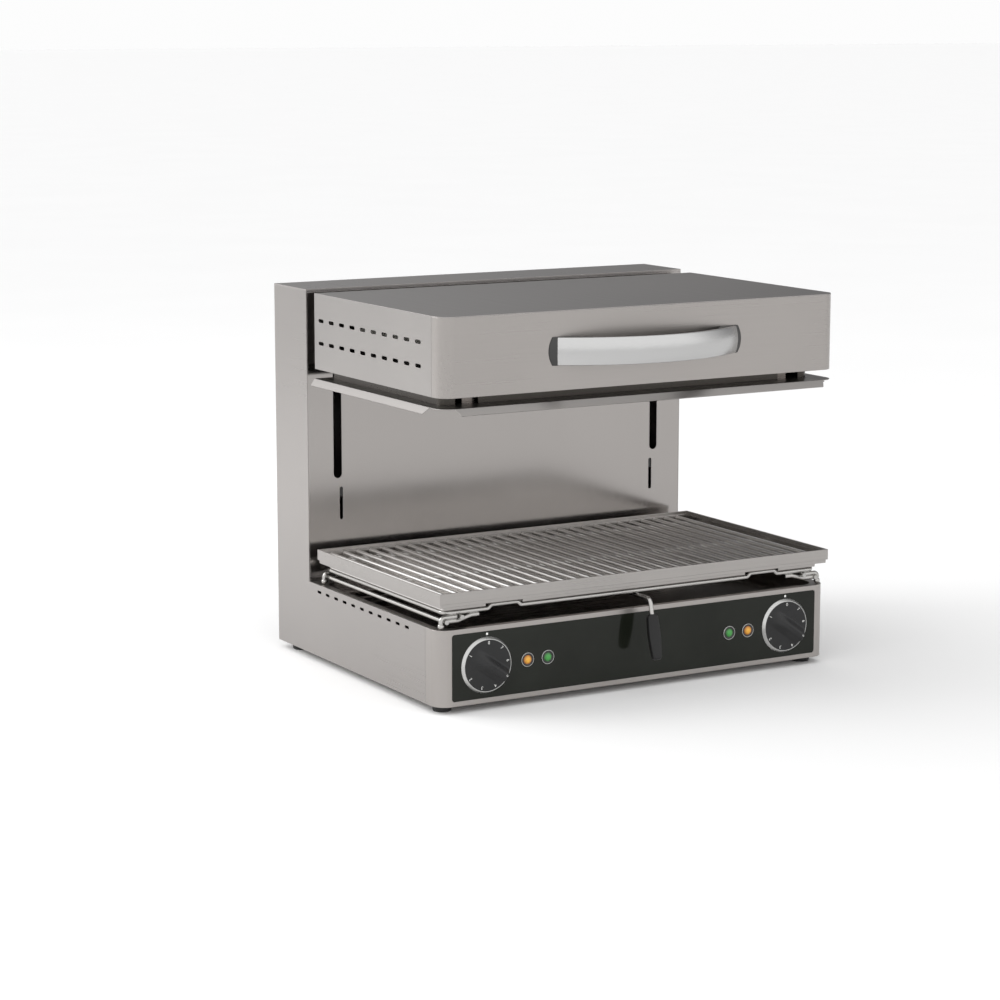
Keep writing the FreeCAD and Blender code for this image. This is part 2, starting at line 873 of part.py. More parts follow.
def knob(hand, side):
    """A bevelled silver ring round a black face with a grip ridge, on a steel shaft."""
    x = knob_x * side
    ring_front = size.knob_stand_off + size.knob_ring_depth
    rim_radius = size.knob_radius - size.knob_ring_taper
    face_radius = rim_radius - size.knob_ring_wall
    body = new_body(f"knob_ring_{hand}")
    revolve(body, "XZ_Plane", [
        (face_radius, size.knob_stand_off),
        (size.knob_radius, size.knob_stand_off),
        (rim_radius, ring_front),
        (face_radius, ring_front),
    ])
    place(body, x, front, control_z, "-Y")
    node(body, f"knob_ring_{hand}")

    face_front = size.knob_stand_off + size.knob_face_depth
    face = cylinder("knob_face", (x, front - size.knob_stand_off, control_z), face_radius,
                    size.knob_face_depth, "-Y")
    ridge = new_body("knob_ridge")
    pad(ridge, "YZ_Plane", [
        (-size.knob_ridge_base / 2, zero),
        (size.knob_ridge_base / 2, zero),
        (size.knob_ridge_top / 2, size.knob_ridge_height),
        (-size.knob_ridge_top / 2, size.knob_ridge_height),
    ], size.knob_radius * 2, True)
    ridge.Placement = FreeCAD.Placement(
        VECTOR(), TURNS["-Y"].multiply(FreeCAD.Rotation(Z_AXIS, -float(size.knob_turn_deg))))
    for axis, value in zip("xyz", (x, front - face_front + size.fit_gap, control_z)):
        ridge.setExpression(f"Placement.Base.{axis}", value.text)
    trim = cylinder("knob_trim", (x, front - size.knob_stand_off, control_z),
                    face_radius - size.knob_trim_gap,
                    size.knob_face_depth + size.knob_ridge_height + size.overrun, "-Y")
    trimmed = common("knob_ridge_trimmed", ridge, trim)
    bore = cylinder("knob_bore", (x, front, control_z), size.shaft_radius, size.knob_bore_depth, "-Y")
    node(cut(f"knob_{hand}", fuse("knob_solid", [face, trimmed]), [bore]), f"knob_{hand}")

    shaft = cylinder(f"knob_shaft_{hand}", (x, front - size.knob_bore_depth, control_z),
                     size.shaft_radius, size.shaft_length, "Y")
    node(shaft, f"knob_shaft_{hand}")

    half = size.regulator_size / 2
    low_y = panel_back + size.sheet
    case = box("regulator_case", (x - half, x + half), (low_y, low_y + size.regulator_depth),
               (control_z - half, control_z + half))
    hole = cylinder("regulator_hole", (x, low_y - size.overrun, control_z),
                    size.shaft_radius + size.pin_clearance, size.shaft_length + size.overrun, "Y")
    node(cut(f"regulator_{hand}", case, [hole]), f"regulator_{hand}")


sides(knob)


def lamps():
    """Recessed chrome bezels with domed lenses, a tube of each reaching through the panel."""
    bezels = []
    lenses = {"amber": [], "green": []}
    for side, offset, colour in lamp_places:
        body = new_body("lamp_bezel")
        revolve(body, "XZ_Plane", [
            (size.bezel_bore_radius, -size.bezel_tube_length),
            (size.bezel_tube_radius, -size.bezel_tube_length),
            (size.bezel_tube_radius, zero),
            (size.bezel_radius, zero),
            (size.bezel_radius - size.bezel_bevel, size.bezel_height),
            (size.bezel_radius - size.bezel_wall, size.bezel_height),
            (size.bezel_radius - size.bezel_wall, size.bezel_floor),
            (size.bezel_bore_radius, size.bezel_floor),
        ])
        bezels.append(place(body, offset * side, front, control_z, "-Y"))
        rod_back = front - size.lens_height + size.lens_length
        lens_rod = cylinder("lens_rod", (offset * side, rod_back, control_z),
                            size.bezel_bore_radius - size.fit_gap, size.lens_length, "-Y")
        dome = doc.addObject("Part::Sphere", "lens_dome")
        bind(dome, Radius=size.lens_dome_radius)
        place(dome, offset * side, front - size.lens_height + size.lens_dome_radius, control_z, "-Y")
        lenses[colour].append(common("lamp_lens", lens_rod, dome))
    node(group("lamp_bezels", bezels), "lamp_bezels")
    for colour, items in lenses.items():
        node(group(f"lamp_lenses_{colour}", items), f"lamp_lenses_{colour}")


lamps()


# Power inlet: cable gland in the rear cover, terminal block on the bottom plate
def power_inlet():
    body = new_body("cable_gland")
    revolve(body, "XZ_Plane", [
        (size.gland_bore_radius, -size.gland_nut_length),
        (size.gland_radius - size.fit_gap, -size.gland_nut_length),
        (size.gland_radius - size.fit_gap, zero),
        (size.gland_radius + size.sheet, zero),
        (size.gland_radius + size.sheet, size.gland_nut_length),
        (size.gland_radius - size.sheet, size.gland_length),
        (size.gland_bore_radius, size.gland_length),
    ])
    place(body, gland_x, back, gland_z, "Y")
    node(body, "cable_gland")
    x = gland_x
    far = back - size.terminal_back_margin
    block = box("terminal_block", (x - size.terminal_width / 2, x + size.terminal_width / 2),
                (far - size.terminal_depth, far),
                (base_low + size.sheet, base_low + size.sheet + size.terminal_height))
    node(block, "terminal_block")


power_inlet()


# Wire rack: a loop with crests, runners below it, legs, rails and the rod of its grip
rack_level = base_top + size.rack_rise


def wire_rack():
    radius = float(size.wire_diameter / 2)
    pitch = size.wire_diameter - size.weld_sink
    side_x = half_width - size.rack_side_margin
    crest_x = half_width - size.crest_side_margin
    leg_x = half_width - size.leg_side_margin
    front_y = front + size.rack_front_margin
    back_y = column_front - size.rack_back_margin
    low_level = rack_level - pitch
    rail_level = base_top + size.rail_rise

    def run(points, bend):
        return rod(points, radius, bend)

    def crest_wire(y):
        """The loop's front or back wire, with a crest on each side."""
        foot = size.crest_half_width + size.crest_slope
        top = size.crest_half_width
        points = [(size.rack_bend - side_x, y, rack_level)]
        for side in (-1, 1):
            for reach, rise in ((-foot, 0), (-top, 1), (top, 1), (foot, 0)):
                points.append((crest_x * side + reach, y, rack_level + size.crest_height * rise))
        points.append((side_x - size.rack_bend, y, rack_level))
        return run(points, size.crest_bend)

    def loop_corner(side, y, way):
        """A quarter of the loop's side wire with its bend into the front or back wire."""
        bend = float(size.rack_bend)
        start = VECTOR(float(side_x * side), float((front_y + back_y) / 2), float(rack_level))
        corner = VECTOR(start.x, float(y), start.z)
        entry = corner + VECTOR(0, bend * way, 0)
        leave = corner - VECTOR(bend * side, 0, 0)
        centre = VECTOR(leave.x, entry.y, start.z)
        middle = centre + (corner - centre).normalize() * bend
        path = [Part.LineSegment(start, entry).toShape(), Part.Arc(entry, middle, leave).toShape()]
        circle = Part.Circle(start, entry - start, radius).toShape()
        return Part.Wire(path).makePipeShell([Part.Wire([circle])], True, False)

    wires = []
    for y, way in ((front_y, 1), (back_y, -1)):
        wires.append(crest_wire(y))
        for side in (-1, 1):
            wires.append(loop_corner(side, y, way))

    runner_ys = (front_y - size.runner_overhang, back_y + size.runner_overhang)
    rail_ys = (front_y - size.rail_overhang, back_y + size.rail_overhang)
    for side in (-1, 1):
        runner_x = (half_width - size.runner_side_margin) * side
        rail_x = (leg_x - pitch) * side
        wires.append(run([(runner_x, y, low_level) for y in runner_ys], zero))
        wires.append(run([(rail_x, y, rail_level) for y in rail_ys], zero))
        for y in (front_y, back_y):
            wires.append(run([
                (leg_x * side, y, base_top + size.rack_foot_radius),
                (leg_x * side, y, low_level),
                ((leg_x - size.leg_reach) * side, y, low_level),
            ], size.leg_bend))
            wires.append(run([
                (rail_x, y, rail_level),
                ((half_width - size.hook_rise_start_margin) * side, y, rail_level),
                ((half_width - size.hook_rise_end_margin) * side, y, low_level),
                ((half_width - size.hook_end_margin) * side, y, low_level),
            ], size.hook_bend))
    wires.append(run([
        (zero, runner_ys[1], low_level),
        (zero, front - size.handle_rod_reach, low_level),
        (zero, front - size.handle_rod_reach - size.handle_rod_slant, low_level - size.handle_rod_drop),
    ], size.handle_rod_bend))
    frame = wires[0].multiFuse(wires[1:]).removeSplitter()
    node(feature("rack_frame", frame), "rack_frame")

    balls = []
    for side in (-1, 1):
        for y in (front_y, back_y):
            ball = doc.addObject("Part::Sphere", "rack_foot")
            bind(ball, Radius=size.rack_foot_radius)
            place(ball, leg_x * side, y, base_top + size.rack_foot_radius)
            socket = cylinder("rack_foot_socket", (leg_x * side, y, base_top + size.rack_foot_radius),
                              size.wire_diameter / 2, size.rack_foot_radius + size.overrun)
            balls.append(cut("rack_foot_ball", ball, [socket]))
    node(group("rack_feet", balls), "rack_feet")
    return low_level


low_wire_level = wire_rack()


# Grip: a leaf-shaped moulding on the rod's end
def rack_grip():
    body = new_body("grip_leaf")
    long = size.grip_length
    neck = size.grip_neck_width / 2
    tip = size.grip_tip_width / 2
    pad(body, "XZ_Plane", [
        (-tip, -long),
        (tip, -long, size.grip_side_radius),
        (neck, zero),
        (-neck, zero, size.grip_side_radius),
    ], size.grip_thickness, True)
    slope = math.degrees(math.atan2(float(size.handle_rod_slant), float(size.handle_rod_drop)))
    body.Placement = FreeCAD.Placement(VECTOR(), FreeCAD.Rotation(X_AXIS, -slope))
    drop_share = float(size.grip_drop) / float(size.handle_rod_drop)
    y = front - size.handle_rod_reach - size.handle_rod_slant * drop_share
    for axis, value in zip("xyz", (zero, y, low_wire_level - size.grip_drop)):
        body.setExpression(f"Placement.Base.{axis}", value.text)
    return body


grip_body = rack_grip()
grip_socket = feature("grip_socket", rod([
    (zero, front - size.handle_rod_reach, low_wire_level),
    (zero, front - size.handle_rod_reach - size.handle_rod_slant, low_wire_level - size.handle_rod_drop),
], size.wire_diameter / 2))
node(cut("rack_grip_hollowed", grip_body, [grip_socket]), "rack_grip")


# Grill pan: rim and apron, a ledge for the cross rods, a basin with two channels over the crests
pan_half = half_width - size.pan_side_margin
pan_ys = (front - size.pan_front_overhang, column_front - size.pan_back_margin)
pan_rim = rack_level + size.pan_rim_rise
pan_skirt_low = pan_rim - size.pan_apron
ledge_top = pan_rim - size.pan_ledge_drop
pan_low = rack_level + size.wire_diameter / 2 + size.pan_seat_gap
pan_floor = pan_low + size.pan_sheet


def pan_block(name, inset, low, high):
    """A block over the pan's plan, drawn in by inset on every side."""
    return box(name, (inset - pan_half, pan_half - inset), (pan_ys[0] + inset, pan_ys[1] - inset),
               (low, high))


def grill_pan():
    wall = size.pan_wall
    inner_wall = wall + size.pan_sheet
    basin = wall + size.pan_ledge_width
    rim = pan_block("pan_rim_block", zero, pan_skirt_low, pan_rim)
    body = pan_block("pan_basin_block", basin - size.pan_sheet, pan_low, ledge_top)
    ledge = pan_block("pan_ledge_block", wall, ledge_top - size.pan_sheet, pan_skirt_low + size.overrun)
    hollow = pan_block("pan_hollow", inner_wall, ledge_top, pan_rim + size.overrun)
    mouth = pan_block("pan_mouth", wall, pan_rim - size.pan_step, pan_rim + size.overrun)
    pool = pan_block("pan_pool", basin, pan_floor, ledge_top + size.overrun)
    channels = []
    covers = []
    for side in (-1, 1):
        centre = (half_width - size.crest_side_margin) * side
        half = size.pan_channel_width / 2
        ys = (pan_ys[0] + basin - size.pan_sheet, pan_ys[1] - basin + size.pan_sheet)
        covers.append(box("pan_channel_cover",
                          (centre - half - size.pan_sheet, centre + half + size.pan_sheet),
                          ys, (pan_low, pan_floor + size.pan_channel_rise)))
        channels.append(box("pan_channel", (centre - half, centre + half),
                            (ys[0] - size.overrun, ys[1] + size.overrun),
                            (pan_low - size.overrun, pan_low + size.pan_channel_rise)))
    outer = fuse("pan_outer", [rim, ledge, body])
    hollowed = cut("pan_hollowed", outer, [hollow, mouth, pool])
    raised = fuse("pan_raised", [hollowed] + covers)
    return node(cut("grill_pan", raised, channels), "grill_pan")


grill_pan()


# Grid: round rods front to back on cross rods that rest on the pan's ledge
def grid():
    radius = size.rod_diameter / 2
    level = pan_rim - size.rod_drop - radius
    inset = size.pan_wall + size.pan_sheet + size.rod_end_gap
    inner = (pan_ys[0] + inset, pan_ys[1] - inset)
    rod_pitch = (pan_half - size.rod_side_margin) * 2 / (RODS - 1)
    rods = []
    for i in range(RODS):
        x = rod_pitch * (i - (RODS - 1) / 2)
        rods.append(cylinder("grid_rod", (x, inner[0], level), radius, inner[1] - inner[0], "Y"))
    node(group("grid_rods", rods), "grid_rods")
    reach = pan_half - inset
    crosses = []
    for share in CROSS_ROD_SHARES:
        y = pan_ys[0] + (pan_ys[1] - pan_ys[0]) * share
        crosses.append(cylinder("cross_rod", (-reach, y, level - size.rod_diameter), radius, reach * 2, "X"))
    node(group("grid_cross_rods", crosses), "grid_cross_rods")


grid()


# Hood: folded cover, front shell with rounded corners, floor, skirt and heat deflector
hood_seam_y = hood_front_y + size.hood_seam
handle_z = hood_low + size.handle_rise
handle_half_deg = math.degrees(math.acos(1 - float(size.handle_reach) / float(size.handle_radius)))
handle_end = size.handle_radius * math.sin(math.radians(handle_half_deg))
handle_screw_x = handle_end - size.handle_screw_inset
bay_half = half_width - size.bay_side_margin
bay_ys = (front + size.bay_front_margin, hood_back_y - size.bay_back_margin)


def hood_bodies():
    outer = rounded_front("hood_outer", half_width, hood_front_y, hood_back_y, hood_low, hood_top,
                          size.corner_radius)
    inner = rounded_front("hood_inner", inner_half_width, hood_front_y + size.sheet,
                          hood_back_y - size.sheet, hood_low - size.overrun, hood_top - size.sheet,
                          size.corner_radius - size.sheet)
    shell = cut("hood_whole", outer, [inner])

    def nose(name, back_y):
        """What lies in front of a place, up to the roof sheet's underside."""
        return box(name, (-half_width - size.overrun, half_width + size.overrun),
                   (hood_front_y - size.overrun, back_y), (hood_low - size.overrun, hood_top - size.sheet))

    cover = cut("hood_cover_plain", shell, [nose("cover_nose", hood_seam_y)])
    holes = [
        cylinder("handle_hole", (handle_screw_x * side, hood_front_y + size.overrun, handle_z),
                 size.handle_screw_radius, size.overrun * 2, "-Y")
        for side in (-1, 1)
    ]
    nose_part = common("hood_nose_part", shell, nose("shell_nose", hood_seam_y - size.seam_gap))
    node(cut("hood_front_shell", nose_part, holes), "hood_front_shell")

    tool = new_body("hood_vents")
    length_half = (size.hood_vent_length - size.hood_vent_height) / 2
    pad(tool, "YZ_Plane", [
        (hood_seam_y, hood_low),
        (hood_back_y, hood_low),
        (hood_back_y, hood_top - size.sheet),
        (hood_seam_y, hood_top - size.sheet),
    ], size.overall_width, True)
    centre = front + size.hood_vent_first
    for rise in (size.hood_vent_low, size.hood_vent_high):
        level = hood_low + rise
        vent = slot(tool, "YZ_Plane", (centre - length_half, level), (centre + length_half, level),
                    size.hood_vent_height / 2)
        repeat(tool, vent, "H_Axis", hood_back_y - size.hood_vent_back_margin - centre, HOOD_VENTS)
    roof = box("hood_roof", (-half_width - size.overrun, half_width + size.overrun),
               (hood_front_y - size.overrun, hood_back_y + size.overrun),
               (hood_top - size.sheet, hood_top + size.overrun))
    keep = fuse("hood_keep", [tool, roof])
    node(common("hood_cover", cover, keep), "hood_cover")


hood_bodies()

floor_plate = rounded_front("hood_floor_plate", inner_half_width - size.fit_gap,
                            hood_front_y + size.sheet + size.fit_gap,
                            hood_back_y - size.sheet - size.fit_gap,
                            hood_low, hood_low + size.sheet, size.corner_radius - size.sheet)
floor_bay = box("hood_floor_bay", (-bay_half, bay_half), bay_ys,
                (hood_low - size.overrun, hood_low + size.overrun))
node(cut("hood_floor", floor_plate, [floor_bay]), "hood_floor")


def hood_skirt():
    """Walls under the floor, rounded at the front corners, with a vent at each end of the front."""
    low = hood_low - size.deflector_drop
    half_x = half_width - size.skirt_side_margin
    ys = (front + size.skirt_front_margin, hood_back_y - size.skirt_back_margin)
    wall = size.sheet
    outer = rounded_front("skirt_outer", half_x, ys[0], ys[1], low, hood_low, size.skirt_corner_radius)
    inner = rounded_front("skirt_inner", half_x - wall, ys[0] + wall, ys[1] - wall, low - size.overrun,
                          hood_low + size.overrun, size.skirt_corner_radius - wall)
    windows = []
    for side in (-1, 1):
        near = (half_width - size.skirt_window_inner_margin) * side
        far = (half_width - size.skirt_window_outer_margin) * side
        windows.append(box("skirt_window", (near, far) if side > 0 else (far, near),
                           (ys[0] - size.overrun, ys[0] + size.overrun),
                           (low - size.overrun, hood_low - size.skirt_head_height)))
    return node(cut("hood_skirt", outer, [inner] + windows), "hood_skirt")


hood_skirt()


def heat_deflector():
    """A plate under the hood with three lips that slope out and down, cut back at their ends."""
    high = hood_low - size.deflector_drop
    low = high - size.lip_sheet
    back_y = hood_back_y + size.deflector_back_overhang
    plate = rounded_front("deflector_plate", half_width, hood_front_y, back_y, low, high, size.corner_radius)
    opening = box("deflector_opening", (-bay_half, bay_half), bay_ys,
                  (low - size.overrun, high + size.overrun))
    slope = float(size.lip_slope_deg)
    sink = size.lip_sheet * math.sin(math.radians(slope))
    level = high - size.lip_sheet * math.cos(math.radians(slope))
    width = size.lip_width
    cut_back = size.lip_end_cut
    lips = []

    def lip(corners, turn, *at):
        body = new_body("deflector_lip")
        pad(body, "XY_Plane", corners, size.lip_sheet)
        body.Placement = FreeCAD.Placement(VECTOR(), turn)
        for axis, value in zip("xyz", at):
            body.setExpression(f"Placement.Base.{axis}", value.text)
        lips.append(body)

    side_half = (back_y - front - size.side_lip_start) / 2
    for side in (-1, 1):
        lip([(zero, -side_half), (width * side, cut_back - side_half),
             (width * side, side_half - cut_back), (zero, side_half)],
            FreeCAD.Rotation(Y_AXIS, slope * side),
            (half_width - sink) * side, front + size.side_lip_start + side_half, level)
    front_half = half_width - size.front_lip_margin
    lip([(-front_half, zero), (cut_back - front_half, -width),
         (front_half - cut_back, -width), (front_half, zero)],
        FreeCAD.Rotation(X_AXIS, slope), zero, hood_front_y + sink, level)
    whole = fuse("deflector_whole", [plate] + lips)
    return node(cut("heat_deflector", whole, [opening]), "heat_deflector")


heat_deflector()


# Heating bay: lining, reflector, insulation and two serpentine elements with their clips
def bay_lining():
    """A frame round the bay, from the deflector's underside to the hood floor's top."""
    wall = size.sheet
    low = hood_low - size.deflector_drop - size.lip_sheet
    high = hood_low + size.sheet
    outer = box("lining_outer", (-bay_half, bay_half), bay_ys, (low, high))
    inner = box("lining_inner", (wall - bay_half, bay_half - wall), (bay_ys[0] + wall, bay_ys[1] - wall),
                (low - size.overrun, high + size.overrun))
    return node(cut("bay_frame", outer, [inner]), "bay_lining")


bay_lining()


def heating_bay():
    wall = size.sheet
    low = hood_low + size.sheet
    half_x = bay_half + wall
    ys = (bay_ys[0] - wall, bay_ys[1] + wall)
    high = low + size.reflector_height
    outer = box("reflector_outer", (-half_x, half_x), ys, (low, high))
    inner = box("reflector_inner", (-bay_half, bay_half), bay_ys, (low - size.overrun, high - wall))
    rim = size.reflector_flange
    flange = box("reflector_flange", (-half_x - rim, half_x + rim), (ys[0] - rim, ys[1] + rim),
                 (low, low + wall))
    tails = []
    mat_low = high
    mat = box("mat_block", (-half_x, half_x), ys, (mat_low, mat_low + size.insulation_height))
    elements = []
    runs = []
    element_z = hood_low - size.element_drop
    y_front = bay_ys[0] + size.element_margin
    y_back = bay_ys[1] - size.element_margin
    tail_high = high + size.element_tail_height
    for hand, side in (("left", -1), ("right", 1)):
        near = size.element_margin * side
        far = (bay_half - size.element_margin) * side
        step = (far - near) / (2 * HAIRPINS - 1)
        points = [(near, y_back, tail_high), (near, y_back, element_z)]
        for i in range(2 * HAIRPINS):
            x = near + step * i
            runs.append(x)
            turn_y = y_front if i % 2 == 0 else y_back
            if i:
                points.append((x, y_back if i % 2 == 0 else y_front, element_z))
            points.append((x, turn_y, element_z))
        points.append((far, y_back, tail_high))
        elements.append((hand, rod(points, size.element_radius, size.element_bend)))
        for x in (near, far):
            tails.append(cylinder("tail_hole", (x, y_back, low), size.element_radius + size.fit_gap,
                                  size.reflector_height + size.insulation_height))
    reflector = cut("reflector", fuse("reflector_solid", [outer, flange]), [inner] + tails)
    node(reflector, "reflector")
    node(cut("insulation_mat", mat, tails), "insulation_mat")
    for hand, shape in elements:
        node(feature(f"heating_element_{hand}", shape), f"heating_element_{hand}")

    strips = []
    for share in STRIP_SHARES:
        y = bay_ys[0] + (bay_ys[1] - bay_ys[0]) * share
        strip = box("element_strip", (wall - bay_half, bay_half - wall), (y, y + size.strip_thickness),
                    (element_z - size.strip_height / 2, element_z + size.strip_height / 2))
        eyes = [
            cylinder("strip_eye", (x, y - size.overrun, element_z),
                     size.element_radius + size.strip_gap, size.overrun * 3, "Y")
            for x in runs
        ]
        strips.append(cut("element_support", strip, eyes))
    node(group("element_supports", strips), "element_supports")


heating_bay()


# Handle: a bowed strap with a crowned face, held in two end caps by screws from inside the hood
def handle_hole(side, name, gap):
    """The shank of a handle screw, from inside the hood's front wall into an end cap."""
    return cylinder(name, (handle_screw_x * side, hood_front_y + size.sheet, handle_z),
                    size.handle_screw_radius - gap, size.handle_screw_length, "-Y")


def handle():
    turn_y = hood_front_y - size.handle_reach + size.handle_radius
    cap_deg = float(size.cap_length_deg)
    half = size.handle_height / 2

    def bow(name, thickness, degrees):
        """A bar that follows the handle's bow, with a crowned outer face."""
        body = new_body(name)
        outer = size.handle_radius - size.handle_crown
        inner = outer - thickness
        revolve(body, "XZ_Plane", [
            (inner, -half),
            (outer, -half, size.handle_crown_radius),
            (outer, half),
            (inner, half),
        ], degrees)
        body.Placement = FreeCAD.Placement(VECTOR(), FreeCAD.Rotation(Z_AXIS, -90))
        for axis, value in zip("xyz", (zero, turn_y, handle_z)):
            body.setExpression(f"Placement.Base.{axis}", value.text)
        return body

    strap_deg = 2 * handle_half_deg - cap_deg
    node(bow("handle_bow", size.handle_edge, strap_deg), "handle_strap")
    cap_bow = bow("cap_bow", size.cap_thickness, 2 * handle_half_deg + cap_deg)
    strap_space = bow("strap_space", size.handle_edge, strap_deg)
    for hand, side in (("left", -1), ("right", 1)):
        keep = new_body("cap_keep")
        pad(keep, "XY_Plane", [
            ((handle_end - size.cap_reach) * side, -size.handle_reach),
            ((handle_end - size.cap_reach) * side, -size.cap_slant_depth),
            ((handle_end - size.cap_foot_reach) * side, zero),
            (half_width * side, zero),
            (half_width * side, -size.handle_reach),
        ], size.hood_height)
        place(keep, 0, hood_front_y, hood_low)
        cap = common("cap_whole", cap_bow, keep)
        hole = handle_hole(side, "cap_hole", zero)
        node(cut(f"handle_cap_{hand}", cap, [strap_space, hole]), f"handle_cap_{hand}")


handle()

handle_screws = []
for side in (-1, 1):
    head = cylinder("handle_screw_head",
                    (handle_screw_x * side, hood_front_y + size.sheet, handle_z),
                    size.screw_head_radius, size.screw_head_height, "Y")
    handle_screws.append(fuse("handle_screw", [head, handle_hole(side, "handle_shank", size.fit_gap)]))
node(group("handle_screws", handle_screws), "handle_screws")


# Carriage: bushes on two guide rods, joined by a bridge, with arms through the column's slots
guide_x = half_width - size.slot_side_margin
guide_y = column_front + size.guide_depth
guide_low = base_top + size.guide_low_rise
guide_high = column_top - size.guide_top_gap
pulley_y = column_front + size.pulley_depth


def guides():
    holders = []
    for hand, side in (("left", -1), ("right", 1)):
        x = guide_x * side
        node(cylinder(f"guide_rod_{hand}", (x, guide_y, guide_low), size.guide_radius,
                      guide_high - guide_low), f"guide_rod_{hand}")
        half = size.guide_block / 2
        for low in (guide_low, guide_high - size.guide_block_height):
            block = box("guide_block", (x - half, x + half), (column_front + size.sheet, guide_y + half),
                        (low, low + size.guide_block_height))
            bore = cylinder("guide_block_bore", (x, guide_y, low - size.overrun), size.guide_radius,
                            size.guide_block_height + size.overrun * 2)
            holders.append(cut("guide_holder", block, [bore]))
    node(group("guide_brackets", holders), "guide_brackets")


guides()


def carriage():
    arm_low = hood_low + size.arm_low_rise
    arm_high = hood_low + size.arm_high_rise
    bridge_zs = (hood_low + size.bridge_low_rise, hood_low + size.bridge_high_rise)
    bushes = []
    solids = []
    bores = []
    housing_radius = size.bush_radius + size.bush_housing_wall
    for side in (-1, 1):
        x = guide_x * side
        for low in (hood_low + size.bush_low_rise, hood_low + size.bush_high_rise):
            ring = cylinder("bush_ring", (x, guide_y, low), size.bush_radius, size.bush_length)
            bore = cylinder("bush_bore", (x, guide_y, low - size.overrun),
                            size.guide_radius + size.bush_clearance, size.bush_length + size.overrun * 2)
            bushes.append(cut("bush", ring, [bore]))
        solids.append(cylinder("bush_housing", (x, guide_y, arm_low), housing_radius,
                               arm_high - arm_low + size.bush_housing_wall))
        bores.append(cylinder("housing_bore", (x, guide_y, arm_low - size.overrun), size.bush_radius,
                              arm_high - arm_low + size.overrun * 3))
        half = size.arm_width / 2
        solids.append(box("arm", (x - half, x + half), (hood_back_y, guide_y), (arm_low, arm_high)))
        flange = size.arm_flange_width / 2
        solids.append(box("arm_flange", (x - flange, x + flange),
                          (hood_back_y, hood_back_y + size.arm_flange_thickness),
                          (arm_low, arm_high)))
    bridge_y = column_front + size.bridge_depth
    solids.append(box("bridge", (-guide_x, guide_x), (bridge_y, bridge_y + size.bridge_thickness),
                      bridge_zs))
    belt_face = pulley_y - size.pulley_radius - size.belt_thickness
    clamp_half = size.weight_clamp_width / 2
    solids.append(box("belt_clamp", (-clamp_half, clamp_half), (bridge_y, belt_face),
                      bridge_zs))
    node(cut("carriage", fuse("carriage_solid", solids), bores), "carriage")
    node(group("guide_bushes", bushes), "guide_bushes")


carriage()


# Counterweight: an endless belt over two pulleys carries it up as the hood comes down
def belt_drive():
    pulley_high = column_top - size.pulley_top_gap
    pulley_low = base_top + size.pulley_low_rise
    weight_low = base_top + size.weight_rise
    weight_half = half_width - size.weight_side_margin
    outer_radius = size.pulley_radius + size.belt_thickness

    def racetrack(name, radius, half_x):
        """A flat loop shape round both pulleys."""
        rounds = [
            cylinder(name + "_end", (-half_x, pulley_y, z), radius, half_x * 2, "X")
            for z in (pulley_low, pulley_high)
        ]
        middle = box(name + "_middle", (-half_x, half_x), (pulley_y - radius, pulley_y + radius),
                     (pulley_low, pulley_high))
        return fuse(name, rounds + [middle])

    belt_inner = size.pulley_radius + size.belt_gap
    outside = racetrack("belt_outside", outer_radius, size.belt_width / 2)
    inside = racetrack("belt_inside", belt_inner, size.belt_width)
    node(cut("drive_belt", outside, [inside]), "drive_belt")

    brackets = []
    pins = []
    for name, z in (("top", pulley_high), ("bottom", pulley_low)):
        half = size.pulley_width / 2
        wheel = cylinder("pulley_blank", (-half, pulley_y, z), size.pulley_radius, half * 2, "X")
        bore = cylinder("pulley_bore", (-half - size.overrun, pulley_y, z),
                        size.pin_radius + size.pin_clearance, size.pulley_width + size.overrun * 2, "X")
        node(cut(f"pulley_{name}", wheel, [bore]), f"pulley_{name}")
        reach = size.bracket_width / 2
        pins.append(cylinder("pulley_pin", (-reach, pulley_y, z), size.pin_radius, size.bracket_width, "X"))
        for side in (-1, 1):
            x_near = (reach - size.bracket_thickness) * side
            x_far = reach * side
            cheek = box("bracket_cheek", (x_near, x_far) if side > 0 else (x_far, x_near),
                        (pulley_y - size.pin_radius * 2, back - size.sheet),
                        (z - size.bracket_height / 2, z + size.bracket_height / 4))
            eye = cylinder("bracket_eye", (-size.bracket_width, pulley_y, z), size.pin_radius,
                           size.bracket_width * 2, "X")
            brackets.append(cut("pulley_cheek", cheek, [eye]))
    node(group("pulley_brackets", brackets), "pulley_brackets")
    node(group("pulley_pins", pins), "pulley_pins")

    half_y = size.weight_thickness / 2
    weight = box("weight_block", (-weight_half, weight_half), (pulley_y - half_y, pulley_y + half_y),
                 (weight_low, weight_low + size.weight_height))
    clamp_half = size.weight_clamp_width / 2
    inner_y = pulley_y + size.pulley_radius
    clamp = box("weight_clamp", (-clamp_half, clamp_half), (pulley_y, inner_y),
                (weight_low + size.weight_height / 4, weight_low + size.weight_height / 2))
    node(fuse("counterweight", [weight, clamp]), "counterweight")

    rails = []
    gap = size.weight_guide_gap
    rail_low = base_top + size.weight_guide_rise
    rail_high = column_top - size.weight_guide_top_gap
    for side in (-1, 1):
        edge = weight_half * side
        x_in = edge - size.weight_guide_width / 2 * side
        x_out = edge + size.weight_guide_width / 2 * side
        rail = box("weight_rail", (x_in, x_out) if side > 0 else (x_out, x_in),
                   (pulley_y - half_y - gap * 3, back - size.sheet),
                   (rail_low, rail_high))
        x_end = edge + gap * side
        x_open = edge - size.weight_guide_width * side
        groove = box("weight_groove", (x_open, x_end) if side > 0 else (x_end, x_open),
                     (pulley_y - half_y - gap, pulley_y + half_y + gap),
                     (rail_low - size.overrun, rail_high + size.overrun))
        rails.append(cut("weight_guide", rail, [groove]))
    node(group("counterweight_guides", rails), "counterweight_guides")


belt_drive()


